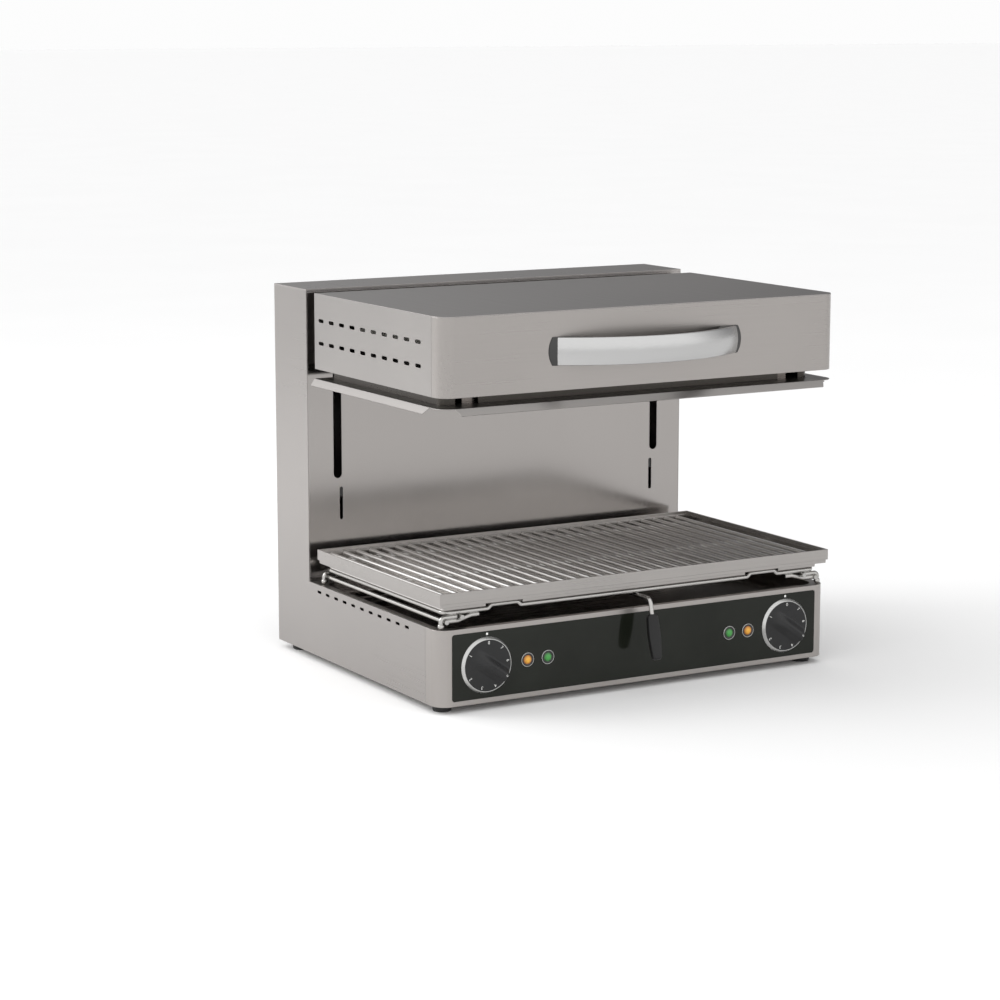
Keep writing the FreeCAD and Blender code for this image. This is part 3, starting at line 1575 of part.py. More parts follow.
# Check every object, then write each sub-part
doc.recompute()
failed = [item.Name for item in doc.Objects if "Invalid" in item.State or "Error" in item.State]
if failed:
    raise RuntimeError(f"failed objects: {failed}")
for item in nodes:
    if item.Shape.isNull() or not item.Shape.isValid() or not item.Shape.Solids:
        raise RuntimeError(f"bad shape: {item.Label}")
os.makedirs("parts", exist_ok=True)
for item in nodes:
    item.Shape.exportStep(f"parts/{item.Label}.step")
    print(item.Label, len(item.Shape.Solids), round(item.Shape.Volume, 1))
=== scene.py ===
import math
import bmesh
import bpy
import numpy as np
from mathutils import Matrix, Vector


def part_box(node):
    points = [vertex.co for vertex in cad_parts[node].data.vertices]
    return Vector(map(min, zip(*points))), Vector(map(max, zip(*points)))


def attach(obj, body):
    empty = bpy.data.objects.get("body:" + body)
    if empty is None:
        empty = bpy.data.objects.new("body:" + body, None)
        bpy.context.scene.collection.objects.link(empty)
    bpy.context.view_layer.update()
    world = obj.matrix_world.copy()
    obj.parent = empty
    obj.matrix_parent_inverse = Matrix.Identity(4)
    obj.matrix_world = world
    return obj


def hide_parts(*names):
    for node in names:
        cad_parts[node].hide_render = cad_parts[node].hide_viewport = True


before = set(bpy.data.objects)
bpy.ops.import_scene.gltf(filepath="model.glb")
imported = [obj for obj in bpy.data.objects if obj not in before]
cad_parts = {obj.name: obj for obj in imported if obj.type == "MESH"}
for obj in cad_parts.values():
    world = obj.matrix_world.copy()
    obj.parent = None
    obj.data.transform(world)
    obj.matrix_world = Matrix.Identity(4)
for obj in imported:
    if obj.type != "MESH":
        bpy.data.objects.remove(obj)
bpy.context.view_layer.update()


# Rubber feet: four round pads moulded in black rubber, with a soft edge and a ring cut into the
# sole. A screw whose head is sunk in the sole holds each one up against the bottom plate.
def blank_finish(name):
    """A new material, its node tree and its one shader."""
    finish = bpy.data.materials.new(name)
    finish.use_nodes = True
    return finish, finish.node_tree, finish.node_tree.nodes["Principled BSDF"]


def add(tree, kind, sockets=None, **settings):
    """A node whose sockets hold values or other nodes' outputs."""
    item = tree.nodes.new("ShaderNode" + kind)
    for key, value in settings.items():
        setattr(item, key, value)
    for key, value in (sockets or {}).items():
        if isinstance(value, bpy.types.NodeSocket):
            tree.links.new(value, item.inputs[key])
        else:
            item.inputs[key].default_value = value
    return item


def ramp(tree, factor, *stops):
    """A colour ramp from (place, colour) stops."""
    item = add(tree, "ValToRGB", {0: factor})
    bar = item.color_ramp.elements
    while len(bar) < len(stops):
        bar.new(0.5)
    for element, (place, colour) in zip(bar, stops):
        element.position = place
        element.color = (*colour, 1)
    return item.outputs["Color"]


def join(tree, shader, **links):
    """Join outputs to the shader's colour, roughness and normal."""
    names = {"colour": "Base Color", "rough": "Roughness", "normal": "Normal"}
    for key, output in links.items():
        tree.links.new(output, shader.inputs[names[key]])


def noise(tree, vector, scale, detail=2.0):
    return add(tree, "TexNoise", {"Vector": vector, "Scale": scale, "Detail": detail}).outputs[0]


def spread(tree, value, low, high, start=0.3, end=0.7):
    """Noise between two marks, drawn out to the span from low to high."""
    sockets = {"Value": value, 1: start, 2: end, 3: low, 4: high}
    return add(tree, "MapRange", sockets).outputs[0]


def soft_edge(tree, radius, height, strength, distance):
    """A normal that rounds the piece's edges by a radius and follows a fine relief."""
    rounded = add(tree, "Bevel", {"Radius": radius}, samples=4).outputs[0]
    sockets = {"Height": height, "Strength": strength, "Distance": distance, "Normal": rounded}
    return add(tree, "Bump", sockets).outputs[0]


def moulding(name, tint, rough, grain=900.0, bump=0.15, edge=0.0008, shine=0.5):
    """Moulded rubber or plastic: a fine pitted skin over a tint that varies a little."""
    finish, tree, shader = blank_finish(name)
    place = add(tree, "TexCoord").outputs["Object"]
    pits = noise(tree, place, grain)
    wear = noise(tree, place, 14.0, 3.0)
    light = tuple(c * 1.25 + 0.002 for c in tint)
    join(tree, shader, colour=ramp(tree, wear, (0.35, tint), (0.75, light)),
         rough=spread(tree, wear, rough - 0.04, rough + 0.06),
         normal=soft_edge(tree, edge, pits, bump, 0.0001))
    shader.inputs["Specular IOR Level"].default_value = shine
    return finish


def soft_line(corners, reach, steps=5, closed=True):
    """A line with soft corners: each corner gives way to a parabola between two points that lie
    a reach away along its two sides, or just under half of the shorter side."""
    corners = np.asarray(corners, float)
    back = np.roll(corners, 1, 0) - corners
    ahead = np.roll(corners, -1, 0) - corners
    back_length = np.linalg.norm(back, axis=1, keepdims=True)
    ahead_length = np.linalg.norm(ahead, axis=1, keepdims=True)
    reach = np.broadcast_to(reach, len(corners))[:, None]
    reach = np.minimum(reach, 0.49 * np.minimum(back_length, ahead_length))
    start = (corners + back / back_length * reach)[:, None]
    end = (corners + ahead / ahead_length * reach)[:, None]
    s = np.linspace(0, 1, steps)[None, :, None]
    line = (1 - s) ** 2 * start + 2 * s * (1 - s) * corners[:, None] + s ** 2 * end
    if closed:
        return line.reshape(-1, corners.shape[1])
    inner = line[1:-1].reshape(-1, corners.shape[1])
    return np.concatenate([corners[:1], inner, corners[-1:]])


FACINGS = {
    "up": np.eye(3),
    "front": np.array([[1, 0, 0], [0, 0, -1], [0, 1, 0]]),
    "back": np.array([[1, 0, 0], [0, 0, 1], [0, -1, 0]]),
}


def turned(profile, at, facing="up", around=48, closed=True):
    """A turned part: the profile's (r, h) at angle a is (r cos a, r sin a, h), tipped so that h
    runs up, to the front or to the back, and moved to its place."""
    angle = np.arange(around) * (2 * np.pi / around)
    r, h = np.asarray(profile, float).T
    points = np.stack([np.outer(r, np.cos(angle)), np.outer(r, np.sin(angle)),
                       np.repeat(h[:, None], around, 1)], -1)
    return points @ FACINGS[facing].T + np.asarray(at, float), closed, True


def make_piece(name, grids, finish, body, *stands_for, slot=None, crease=40):
    """One mesh of several grids of (points, closed rows, closed columns). Each point starts a quad
    with its right, upper right and upper neighbours. Points that meet are merged, which closes
    the poles, and the faces are turned outwards."""
    corners = []
    quads = []
    count = 0
    for points, closed_rows, closed_columns in grids:
        rows, columns = points.shape[:2]
        i, j = np.meshgrid(np.arange(rows if closed_rows else rows - 1),
                           np.arange(columns if closed_columns else columns - 1), indexing="ij")
        up = (i + 1) % rows
        right = (j + 1) % columns
        around = (i * columns + j, i * columns + right, up * columns + right, up * columns + j)
        quads.append(count + np.stack(around, -1).reshape(-1, 4))
        corners.append(points.reshape(-1, 3))
        count += rows * columns
    mesh = bpy.data.meshes.new(name)
    mesh.from_pydata(np.concatenate(corners).tolist(), [], np.concatenate(quads).tolist())
    work = bmesh.new()
    work.from_mesh(mesh)
    bmesh.ops.remove_doubles(work, verts=work.verts, dist=1e-6)
    bmesh.ops.recalc_face_normals(work, faces=work.faces)
    work.to_mesh(mesh)
    work.free()
    mesh.shade_smooth()
    mesh.set_sharp_from_angle(angle=math.radians(crease))
    mesh.materials.append(finish)
    item = bpy.data.objects.new(name, mesh)
    bpy.context.scene.collection.objects.link(item)
    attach(item, body)
    if stands_for:
        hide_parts(*stands_for)
    return item


def dress(finish, *names):
    """Give CAD nodes a finish in every slot."""
    for name in names:
        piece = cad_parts[name]
        if not piece.material_slots:
            piece.data.materials.append(finish)
        for holder in piece.material_slots:
            holder.material = finish


FOOT_PLACES = [(x, y, 0.0) for x in (-0.279, 0.279) for y in (-0.180, 0.224)]
FOOT_CORNERS = [(0.0051, 0), (0.0072, 0), (0.0072, 0.0008), (0.0088, 0.0008), (0.0088, 0),
                (0.0120, 0), (0.0130, 0.0100), (0.0032, 0.0100), (0.0032, 0.0040),
                (0.0051, 0.0040)]
FOOT_SOFTENING = (0.0004, 0.0003, 0.0003, 0.0003, 0.0003, 0.0012, 0.0006, 0.0003, 0.0003, 0.0003)
rubber = moulding("foot_rubber", (0.012, 0.012, 0.012), 0.62)
foot_profile = soft_line(FOOT_CORNERS, FOOT_SOFTENING, 4)
make_piece("foot_pads", [turned(foot_profile, place, around=40) for place in FOOT_PLACES], rubber,
           "base", "rubber_feet", slot="rubber")

# Casing: side panels, base shell, deck, column and covers of satin stainless sheet. They are cut,
# folded and spot welded, and the grain of the sheet runs along each piece.
GRAINS = {"X": (4, 700, 700), "Y": (700, 4, 700), "Z": (700, 700, 4)}


def satin_steel(name, tint, rough, grain="X", streak=0.03, cloud=0.02, bump=0.05, edge=0.0009):
    """Rolled sheet: noise stretched along the grain gives fine lines in tint and gloss, and broad
    noise lightens and dulls it in soft clouds."""
    finish, tree, shader = blank_finish(name)
    place = add(tree, "TexCoord").outputs["Object"]
    stretched = add(tree, "Mapping", {"Vector": place, "Scale": GRAINS[grain]}).outputs[0]
    lines = noise(tree, stretched, 1.0, 3.0)
    clouds = noise(tree, place, 5.0, 3.0)
    dark = tuple(c * (1 - cloud) for c in tint)
    light = tuple(min(1.0, c * (1 + cloud)) for c in tint)
    blend = add(tree, "Math", {0: clouds, 1: spread(tree, lines, -0.15, 0.15)}, operation="ADD")
    fine_rough = spread(tree, lines, rough - streak, rough + streak)
    broad_rough = spread(tree, clouds, -cloud, cloud)
    dull = add(tree, "Math", {0: fine_rough, 1: broad_rough}, operation="ADD")
    join(tree, shader, colour=ramp(tree, blend.outputs[0], (0.3, dark), (0.7, light)),
         rough=dull.outputs[0], normal=soft_edge(tree, edge, lines, bump, 0.00004))
    shader.inputs["Metallic"].default_value = 1.0
    return finish


side_steel = satin_steel("side_steel", (0.358, 0.338, 0.326), 0.31, "Y")
front_steel = satin_steel("front_steel", (0.375, 0.352, 0.336), 0.34, "X")
column_steel = satin_steel("column_steel", (0.378, 0.357, 0.343), 0.18, "Z", 0.02, 0.02, 0.02)
plain_steel = satin_steel("plain_steel", (0.34, 0.33, 0.32), 0.42, "X")
zinc = satin_steel("zinc_plate", (0.52, 0.52, 0.50), 0.38, "X", 0.05, 0.06)
dress(side_steel, "side_panel_left", "side_panel_right", "rear_cover", "column_top_cap")
dress(front_steel, "base_front_shell", "base_deck", "base_bottom_plate")
dress(column_steel, "column_front_panel")
dress(zinc, "foot_screws")

# Rear cover screws: zinc plated pan heads with a cross recess, one at each end and two between
# them along both edges of the cover.
COVER_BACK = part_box("rear_cover")[1][1]
SCREW_X = 0.282
SCREW_HEIGHTS = np.linspace(0.02988, 0.49209, 4)
SCREW_RADIUS = 0.004
SCREW_RISE = 0.002
SCREW_EDGE = 0.0009
RECESS_HALF = 0.00055
RECESS_REACH = 0.0022
RECESS_DEPTH = 0.0011
RECESS_WALL = 0.0002
RECESS_END = 0.0004


def pan_head(at):
    """A pan head: at (r, a) the dome stands rise (1 - 0.3 (r / radius)^2) high, and a cross of two
    slots sinks into it, deepest where the smaller of |x| and |y| is least."""
    r = np.linspace(0, SCREW_RADIUS, 15)[:, None]
    a = np.arange(32)[None] * (2 * np.pi / 32)
    x = r * np.cos(a)
    y = r * np.sin(a)
    arm = np.minimum(np.abs(x), np.abs(y))
    sunk = (np.clip((RECESS_HALF - arm) / RECESS_WALL, 0, 1)
            * np.clip((RECESS_REACH - r) / RECESS_END, 0, 1))
    edge = np.clip((r - SCREW_RADIUS + SCREW_EDGE) / SCREW_EDGE, 0, 1) ** 3 * SCREW_EDGE
    h = SCREW_RISE * (1 - 0.3 * (r / SCREW_RADIUS) ** 2) - RECESS_DEPTH * sunk - edge
    head = np.stack([x, y, h], -1)
    foot = head[-1:] * (1, 1, 0)
    points = np.concatenate([head, foot, foot * 0])
    return points @ FACINGS["back"].T + np.array(at), False, True


screw_places = [(x, COVER_BACK, z) for x in (-SCREW_X, SCREW_X) for z in SCREW_HEIGHTS]
make_piece("cover_screws", [pan_head(place) for place in screw_places], zinc, "base",
           "rear_cover_screws", slot="zinc_steel")

# Crumb tray: a shallow pan bent from one thin sheet and dropped into the deck's well. Burnt fat
# has turned it a dull brownish grey.
burnt = satin_steel("burnt_steel", (0.23, 0.205, 0.19), 0.28, "X", 0.08, 0.25, 0.1)
dress(burnt, "crumb_tray")

# Control panel: a gloss black plate with rounded corners, set flush into the base shell on a steel
# backplate, with a small white printed square above each knob.
PANEL_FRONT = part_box("control_panel")[0][1]
knob_low, knob_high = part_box("knob_right")
KNOB_X = (knob_low[0] + knob_high[0]) / 2
CONTROL_Z = (knob_low[2] + knob_high[2]) / 2
POINTER_SHIFT = 0.0008
POINTER_Z = 0.0992
POINTER_HALF = 0.0014
POINTER_FRONT = PANEL_FRONT - 0.00004
gloss = moulding("panel_gloss", (0.0085, 0.0098, 0.0070), 0.09, 30.0, 0.01, 0.0003, 0.24)
white_print = moulding("white_print", (0.72, 0.72, 0.70), 0.5, 600.0, 0.05)
dress(gloss, "control_panel")
dress(plain_steel, "panel_backplate")


def printed_square(x, z, half, y):
    """A square of paint: a grid of nine points from -half to half both ways, level with y."""
    u, v = np.meshgrid(np.linspace(-half, half, 3), np.linspace(-half, half, 3))
    return np.stack([x + u, np.full_like(u, y), z + v], -1), False, False


pointers = [printed_square(side * KNOB_X + POINTER_SHIFT, POINTER_Z, POINTER_HALF, POINTER_FRONT)
            for side in (-1, 1)]
make_piece("panel_pointers", pointers, white_print, "base", slot="black_panel")

# Knobs: a black moulded face with one slanting grip ridge and white numerals, inside a ring of
# satin silver with a bevelled rim. A steel shaft carries each through the panel to its regulator.
FACE_FRONT = 0.0037
FACE_RADII = np.concatenate([np.linspace(0, 0.0305, 36), [0.0312, 0.0317, 0.0320, 0.0322]])
RIM_AND_BACK = np.array([(0.0328, 0.0037), (0.0331, 0.0036), (0.0332, 0.0034), (0.0332, 0.0004),
                         (0.0331, 0.0003), (0, 0.0003)])
RING_CORNERS = [(0.0332, 0.0003), (0.0368, 0.0003), (0.0340, 0.0039), (0.0332, 0.0039)]
RING_SOFTENING = (0.0003, 0.0003, 0.0005, 0.0003)
RIDGE_TURN = math.radians(-35)
RIDGE_HALF = 0.012
RIDGE_TOP_HALF = 0.002
RIDGE_RISE = 0.0068
RIDGE_REACH = 0.0322
RIDGE_START = -0.030
RIDGE_RUN = 0.036
RIDGE_END = 0.0015
RIDGE_LEAST = 0.06
NUMERAL_RADIUS = 0.0292
NUMERAL_SIZE = 0.0058
NUMERAL_LIFT = 0.00005
NUMERAL_DEGREES = (3, 301, 239, 197, 158, 121, 83, 44)
knob_black = moulding("knob_black", (0.0070, 0.0072, 0.0076), 0.27, 1500.0, 0.05, 0.0004, 0.40)
silver = satin_steel("knob_silver", (0.50, 0.50, 0.49), 0.26, "X", 0.02, 0.01, 0.02, 0.0002)
black = moulding("black_moulding", (0.018, 0.018, 0.018), 0.42)


def ridge_rise(x, z):
    """Height of the grip ridge over the face: a slope from its flat top to its foot across it,
    times a slope that lets its upper left end run out into the face, softened by s^2 (3 - 2 s)."""
    along = x * math.cos(RIDGE_TURN) + z * math.sin(RIDGE_TURN)
    across = np.abs(z * math.cos(RIDGE_TURN) - x * math.sin(RIDGE_TURN))
    flank = np.clip((RIDGE_HALF - across) / (RIDGE_HALF - RIDGE_TOP_HALF), 0, 1)
    run_out = np.clip((along - RIDGE_START) / RIDGE_RUN, 0, 1)
    end = np.clip((RIDGE_REACH - np.hypot(x, z)) / RIDGE_END, 0, 1)
    blend = flank ** 1.5 * (2.5 - 1.5 * flank)
    slope = RIDGE_LEAST + (1 - RIDGE_LEAST) * run_out ** 2 * (3 - 2 * run_out)
    return RIDGE_RISE * blend * slope * end ** 0.5


def knob_face(side):
    """The face on rings of points: the inner rings stand FACE_FRONT plus the ridge's rise proud,
    and the last ones turn over the rim, down the wall and across the back."""
    angle = np.arange(144)[None] * (2 * np.pi / 144)
    x = FACE_RADII[:, None] * np.cos(angle)
    z = FACE_RADII[:, None] * np.sin(angle)
    face = np.stack([x, -FACE_FRONT - ridge_rise(x, z), z], -1)
    r, depth = RIM_AND_BACK[:, :1], RIM_AND_BACK[:, 1:]
    edge = np.stack([r * np.cos(angle), -np.repeat(depth, 144, 1), r * np.sin(angle)], -1)
    return np.concatenate([face, edge]) + (side * KNOB_X, PANEL_FRONT, CONTROL_Z), False, True


def numeral_points(text, size):
    """A numeral's filled outline as points and faces, centred on the origin."""
    line = bpy.data.curves.new("numeral", "FONT")
    line.body = text
    line.size = size
    line.align_x = "CENTER"
    line.align_y = "CENTER"
    holder = bpy.data.objects.new("numeral", line)
    bpy.context.scene.collection.objects.link(holder)
    shape = bpy.data.meshes.new_from_object(holder)
    points = np.zeros(len(shape.vertices) * 3)
    shape.vertices.foreach_get("co", points)
    faces = [tuple(face.vertices) for face in shape.polygons]
    bpy.data.objects.remove(holder)
    bpy.data.curves.remove(line)
    bpy.data.meshes.remove(shape)
    return points.reshape(-1, 3), faces


def knob_numerals(hand, side):
    """Plain numerals round the rim. Each is turned so that its top points outwards, and its points
    then take their height from the face and the ridge under them."""
    corners = []
    faces = []
    count = 0
    for i, degrees in enumerate(NUMERAL_DEGREES):
        points, shape = numeral_points(str(i), NUMERAL_SIZE)
        turn = math.radians(degrees)
        x = points[:, 0] * math.cos(turn) + (points[:, 1] + NUMERAL_RADIUS) * math.sin(turn)
        z = (points[:, 1] + NUMERAL_RADIUS) * math.cos(turn) - points[:, 0] * math.sin(turn)
        y = -FACE_FRONT - ridge_rise(x, z) - NUMERAL_LIFT
        corners.append(np.stack([x, y, z], -1) + (side * KNOB_X, PANEL_FRONT, CONTROL_Z))
        faces += [tuple(count + k for k in face) for face in shape]
        count += len(points)
    mesh = bpy.data.meshes.new("numerals_" + hand)
    mesh.from_pydata(np.concatenate(corners).tolist(), [], faces)
    mesh.materials.append(white_print)
    item = bpy.data.objects.new("numerals_" + hand, mesh)
    bpy.context.scene.collection.objects.link(item)
    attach(item, "knob_" + hand)


ring_profile = soft_line(RING_CORNERS, RING_SOFTENING, 5)
for hand, side in (("left", -1), ("right", 1)):
    make_piece("face_" + hand, [knob_face(side)], knob_black, "knob_" + hand, "knob_" + hand,
               slot="black_plastic", crease=60)
    ring = turned(ring_profile, (side * KNOB_X, PANEL_FRONT, CONTROL_Z), "front", 96)
    make_piece("ring_" + hand, [ring], silver, "knob_" + hand, "knob_ring_" + hand,
               slot="chrome_trim")
    knob_numerals(hand, side)
dress(silver, "knob_shaft_left", "knob_shaft_right")
dress(black, "regulator_left", "regulator_right")

# Pilot lamps: a bright turned bezel with a dished front, a black seat in the dish and a domed lens
# on it, amber outside and green inside. The bezel's threaded tube reaches through the panel.
LENS_RADIUS = 0.0051
AMBER_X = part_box("lamp_lenses_amber")[1][0] - LENS_RADIUS
GREEN_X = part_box("lamp_lenses_green")[1][0] - LENS_RADIUS
LAMP_PLACES = [(x, PANEL_FRONT, CONTROL_Z) for x in (-AMBER_X, -GREEN_X, GREEN_X, AMBER_X)]
BEZEL_CORNERS = [(0.0052, -0.022), (0.0062, -0.022), (0.0062, 0), (0.0094, 0), (0.0091, 0.0012),
                 (0.0084, 0.0012), (0.0084, 0.0002), (0.0052, 0.0002)]
SEAT_CORNERS = [(0.0056, 0.0002), (0.0083, 0.0002), (0.0083, 0.0007), (0.0056, 0.0004)]
LENS_STEM = [(0, -0.0098), (0.0050, -0.0098), (LENS_RADIUS, -0.0097), (LENS_RADIUS, 0.0002)]
LENS_TOP = 0.0026
LENS_CURVE = 0.010
LENS_HALF_ANGLE = 0.6435
# Heights over the panel where the lens's painted shade at the rim ends and its painted light at
# the crown is full.
SHADED_RIM_RISE = 0.0008
LIT_CROWN_RISE = 0.0024
bezel_profile = soft_line(BEZEL_CORNERS, 0.0003, 4)
seat_profile = soft_line(SEAT_CORNERS, 0.0001, 3)
lens_angle = np.linspace(LENS_HALF_ANGLE, 0, 12)
lens_dome = np.stack([LENS_CURVE * np.sin(lens_angle),
                      LENS_TOP - LENS_CURVE + LENS_CURVE * np.cos(lens_angle)], -1)
lens_profile = np.concatenate([LENS_STEM, lens_dome])


def lens(name, rim, crown):
    """Tinted lens: painted shade at the rim runs to painted light at the crown as it stands
    higher.
    """
    finish, tree, shader = blank_finish(name)
    place = add(tree, "TexCoord").outputs["Object"]
    depth = add(tree, "SeparateXYZ", {0: place}).outputs[1]
    marks = {1: PANEL_FRONT - SHADED_RIM_RISE, 2: PANEL_FRONT - LIT_CROWN_RISE}
    height = add(tree, "MapRange", {"Value": depth, **marks}).outputs[0]
    flecks = noise(tree, place, 900.0)
    relief = add(tree, "Bump", {"Height": flecks, "Strength": 0.05, "Distance": 0.0001}).outputs[0]
    join(tree, shader, colour=ramp(tree, height, (0.0, rim), (1.0, crown)),
         rough=spread(tree, flecks, 0.10, 0.16), normal=relief)
    shader.inputs["Coat Weight"].default_value = 0.25
    return finish


make_piece("lamp_rings", [turned(bezel_profile, place, "front") for place in LAMP_PLACES], silver,
           "base", "lamp_bezels", slot="chrome_trim")
make_piece("lamp_seats", [turned(seat_profile, place, "front") for place in LAMP_PLACES], black,
           "base", slot="black_plastic")
# Each lens's rim colour is painted shade and its crown colour is painted light.
for hue, lamp_x, rim, crown in (
        ("amber", AMBER_X, (0.28, 0.08, 0.005), (0.74, 0.36, 0.03)),
        ("green", GREEN_X, (0.008, 0.07, 0.01), (0.04, 0.29, 0.045))):
    pair = [turned(lens_profile, (x, PANEL_FRONT, CONTROL_Z), "front", 40, False)
            for x in (-lamp_x, lamp_x)]
    make_piece("lens_" + hue, pair, lens("lens_" + hue, rim, crown), "base", "lamp_lenses_" + hue,
               slot=hue + "_lens")

# Power inlet: a black nylon gland screwed into the rear cover, and a terminal block that stands
# on the bottom plate in front of it. Both are moulded.
dress(black, "cable_gland", "terminal_block")

# Wire rack: bright round wire, bent to a loop with runners, legs and hooked rails and welded where
# the wires cross. It stands on four small balls.
wire_steel = satin_steel("bright_wire", (0.44, 0.43, 0.415), 0.24, "X", 0.02, 0.02, 0.02)
dress(wire_steel, "rack_frame", "rack_feet")

# Rack grip: a leaf of black moulded plastic, pushed onto the rod in the middle of the rack's
# front. It is widest a little above its middle and leans out at its foot.
GRIP_TOP = np.array([0, -0.2363, 0.1050])
GRIP_SLOPE = math.atan2(5, 22)
GRIP_LENGTH = 0.060
GRIP_THICK_HALF = 0.0045
GRIP_NECK_HALF = 0.0070
GRIP_TIP_HALF = 0.0060
GRIP_BULGE = 0.0022


def grip_leaf():
    """A leaf: at share t of its length the half width is a line from neck to tip plus a bulge
    4 b t (1 - t), and the section is a squircle x^4 + y^4 = 1 stretched to half width and half
    thickness. Both shrink at the ends as (1 - |2 t - 1|^14)^(1/4)."""
    t = (1 - np.cos(np.linspace(0, np.pi, 49)))[:, None] / 2
    a = np.arange(40)[None] * (2 * np.pi / 40)
    end = np.clip(1 - np.abs(2 * t - 1) ** 14, 0, 1) ** 0.25
    straight = GRIP_NECK_HALF + (GRIP_TIP_HALF - GRIP_NECK_HALF) * t
    half = (straight + 4 * GRIP_BULGE * t * (1 - t)) * end
    x = half * np.sign(np.cos(a)) * np.abs(np.cos(a)) ** 0.5
    y = GRIP_THICK_HALF * end * np.sign(np.sin(a)) * np.abs(np.sin(a)) ** 0.5
    down = GRIP_LENGTH * t + 0 * a
    lean, fall = math.sin(GRIP_SLOPE), math.cos(GRIP_SLOPE)
    points = np.stack([x, y * fall - down * lean, -y * lean - down * fall], -1)
    return points + GRIP_TOP, False, True


grip_black = moulding("grip_black", (0.007, 0.007, 0.007), 0.36, 900.0, 0.1, 0.0006, 0.3)
make_piece("grip_leaf", [grip_leaf()], grip_black, "rack", "rack_grip", slot="black_plastic")

# Grill pan: a deep drawn stainless pan with a folded apron and two channels that sit on the
# rack's crests. It catches what drips through the grid, and its scoured inside is paler.
PAN_MIDDLE = (0, -0.0404, 0)
INSIDE_HALF = (0.290, 0.156, 1)


def scour_inside(finish):
    """Lay a paler tint over a finish where |x| and |y - middle| both stay within the inside's
    half sizes: the greater of the two shares is then under 1."""
    tree = finish.node_tree
    shader = tree.nodes["Principled BSDF"]
    plain = shader.inputs["Base Color"].links[0].from_socket
    place = add(tree, "TexCoord").outputs["Object"]
    off = add(tree, "VectorMath", {0: place, 1: PAN_MIDDLE}, operation="SUBTRACT").outputs[0]
    off = add(tree, "VectorMath", {0: off}, operation="ABSOLUTE").outputs[0]
    share = add(tree, "VectorMath", {0: off, 1: INSIDE_HALF}, operation="DIVIDE").outputs[0]
    share = add(tree, "SeparateXYZ", {0: share}).outputs
    greater = add(tree, "Math", {0: share[0], 1: share[1]}, operation="MAXIMUM").outputs[0]
    patches = spread(tree, noise(tree, place, 60.0), 0.0, 1.0)
    scoured = ramp(tree, patches, (0, (0.80, 0.775, 0.75)), (1, (0.86, 0.835, 0.81)))
    inside = spread(tree, greater, 1.0, 0.0, 0.98, 1.0)
    blend = add(tree, "MixRGB", {0: inside, 1: plain, 2: scoured}).outputs[0]
    join(tree, shader, colour=blend)


pan_steel = satin_steel("pan_steel", (0.37, 0.352, 0.338), 0.30, "X", 0.04, 0.04)
scour_inside(pan_steel)
dress(pan_steel, "grill_pan")

# Grill grid: satin round rods of stainless wire, laid side by side on three cross rods and
# welded to them. It lies loose in the pan.
grid_steel = satin_steel("grid_steel", (0.70, 0.685, 0.67), 0.36, "Y", 0.03, 0.03, 0.03)
dress(grid_steel, "grid_rods", "grid_cross_rods")

# Hood: a front shell with rounded corners and a folded cover with two rows of vents on each side,
# over a floor, a skirt and a heat deflector with three sloping lips, all of stainless sheet.
hood_front = satin_steel("hood_front_steel", (0.365, 0.343, 0.328), 0.30, "X")
hood_steel = satin_steel("hood_cover_steel", (0.355, 0.338, 0.326), 0.32, "Y")
inner_steel = satin_steel("inner_steel", (0.30, 0.29, 0.28), 0.34, "X", 0.04, 0.05)
# The skirt's steel is tinted near black: painted shade in the recess under the hood's front.
skirt_painted_shade = satin_steel("skirt_painted_shade", (0.07, 0.064, 0.058), 0.30, "X", 0.04, 0.08)
dress(hood_front, "hood_front_shell")
dress(hood_steel, "hood_cover", "heat_deflector")
dress(inner_steel, "hood_floor")
dress(burnt, "bay_lining")
dress(skirt_painted_shade, "hood_skirt")

# Heating bay: a folded reflector under a ceramic fibre mat, and two serpentine elements whose
# sheaths have gone dark with heat, held in notched strips.
sheath = satin_steel("element_sheath", (0.10, 0.09, 0.085), 0.45, "Y", 0.08, 0.25, 0.1)
fibre = moulding("fibre_mat", (0.72, 0.70, 0.64), 0.9, 1200.0, 0.6)
dress(inner_steel, "reflector", "element_supports")
dress(sheath, "heating_element_left", "heating_element_right")
dress(fibre, "insulation_mat")

# Handle: a bowed strap of satin aluminium with a crowned face, pushed into two dark grey plastic
# caps that are screwed on from inside the hood.
BOW_RADIUS = 0.245
BOW_Y = -0.022
BOW_Z = 0.453
BOW_HALF_DEG = 34.0
STRAP_HALF = 0.0176
STRAP_BACK = 0.2388
CROWN_RADIUS = 0.052
FRONT_SOFTENING = 0.0008
BACK_SOFTENING = 0.0006
strap_metal = satin_steel("strap_metal", (0.50, 0.498, 0.495), 0.24, "X", 0.02, 0.01, 0.02)
cap_grey = moulding("cap_grey", (0.030, 0.030, 0.029), 0.48, 1100.0, 0.15, 0.0014)


def bowed_strap():
    """The strap: its crowned section, a thin bar whose outer face is an arc of the crown's radius
    with soft corners, carried round an upright axis from one end's angle to the other's."""
    face = np.linspace(-STRAP_HALF, STRAP_HALF, 17)
    crown = BOW_RADIUS - CROWN_RADIUS + np.sqrt(CROWN_RADIUS ** 2 - face ** 2)
    outer = np.stack([crown, face], -1)
    inner = np.array([(STRAP_BACK, STRAP_HALF), (STRAP_BACK, -STRAP_HALF)])
    reach = np.zeros(19)
    reach[[0, 16]] = FRONT_SOFTENING
    reach[17:] = BACK_SOFTENING
    section = soft_line(np.concatenate([outer, inner]), reach + 1e-6, 5)
    r, rise = section.T[:, None]
    angle = np.radians(np.linspace(-BOW_HALF_DEG, BOW_HALF_DEG, 73))[:, None]
    line = np.stack([r * np.sin(angle), BOW_Y - r * np.cos(angle), BOW_Z + rise + 0 * angle], -1)
    ends = [line[i:i + 1].mean(1, keepdims=True) + 0 * line[:1] for i in (0, -1)]
    return np.concatenate([ends[0], line, ends[1]]), False, True


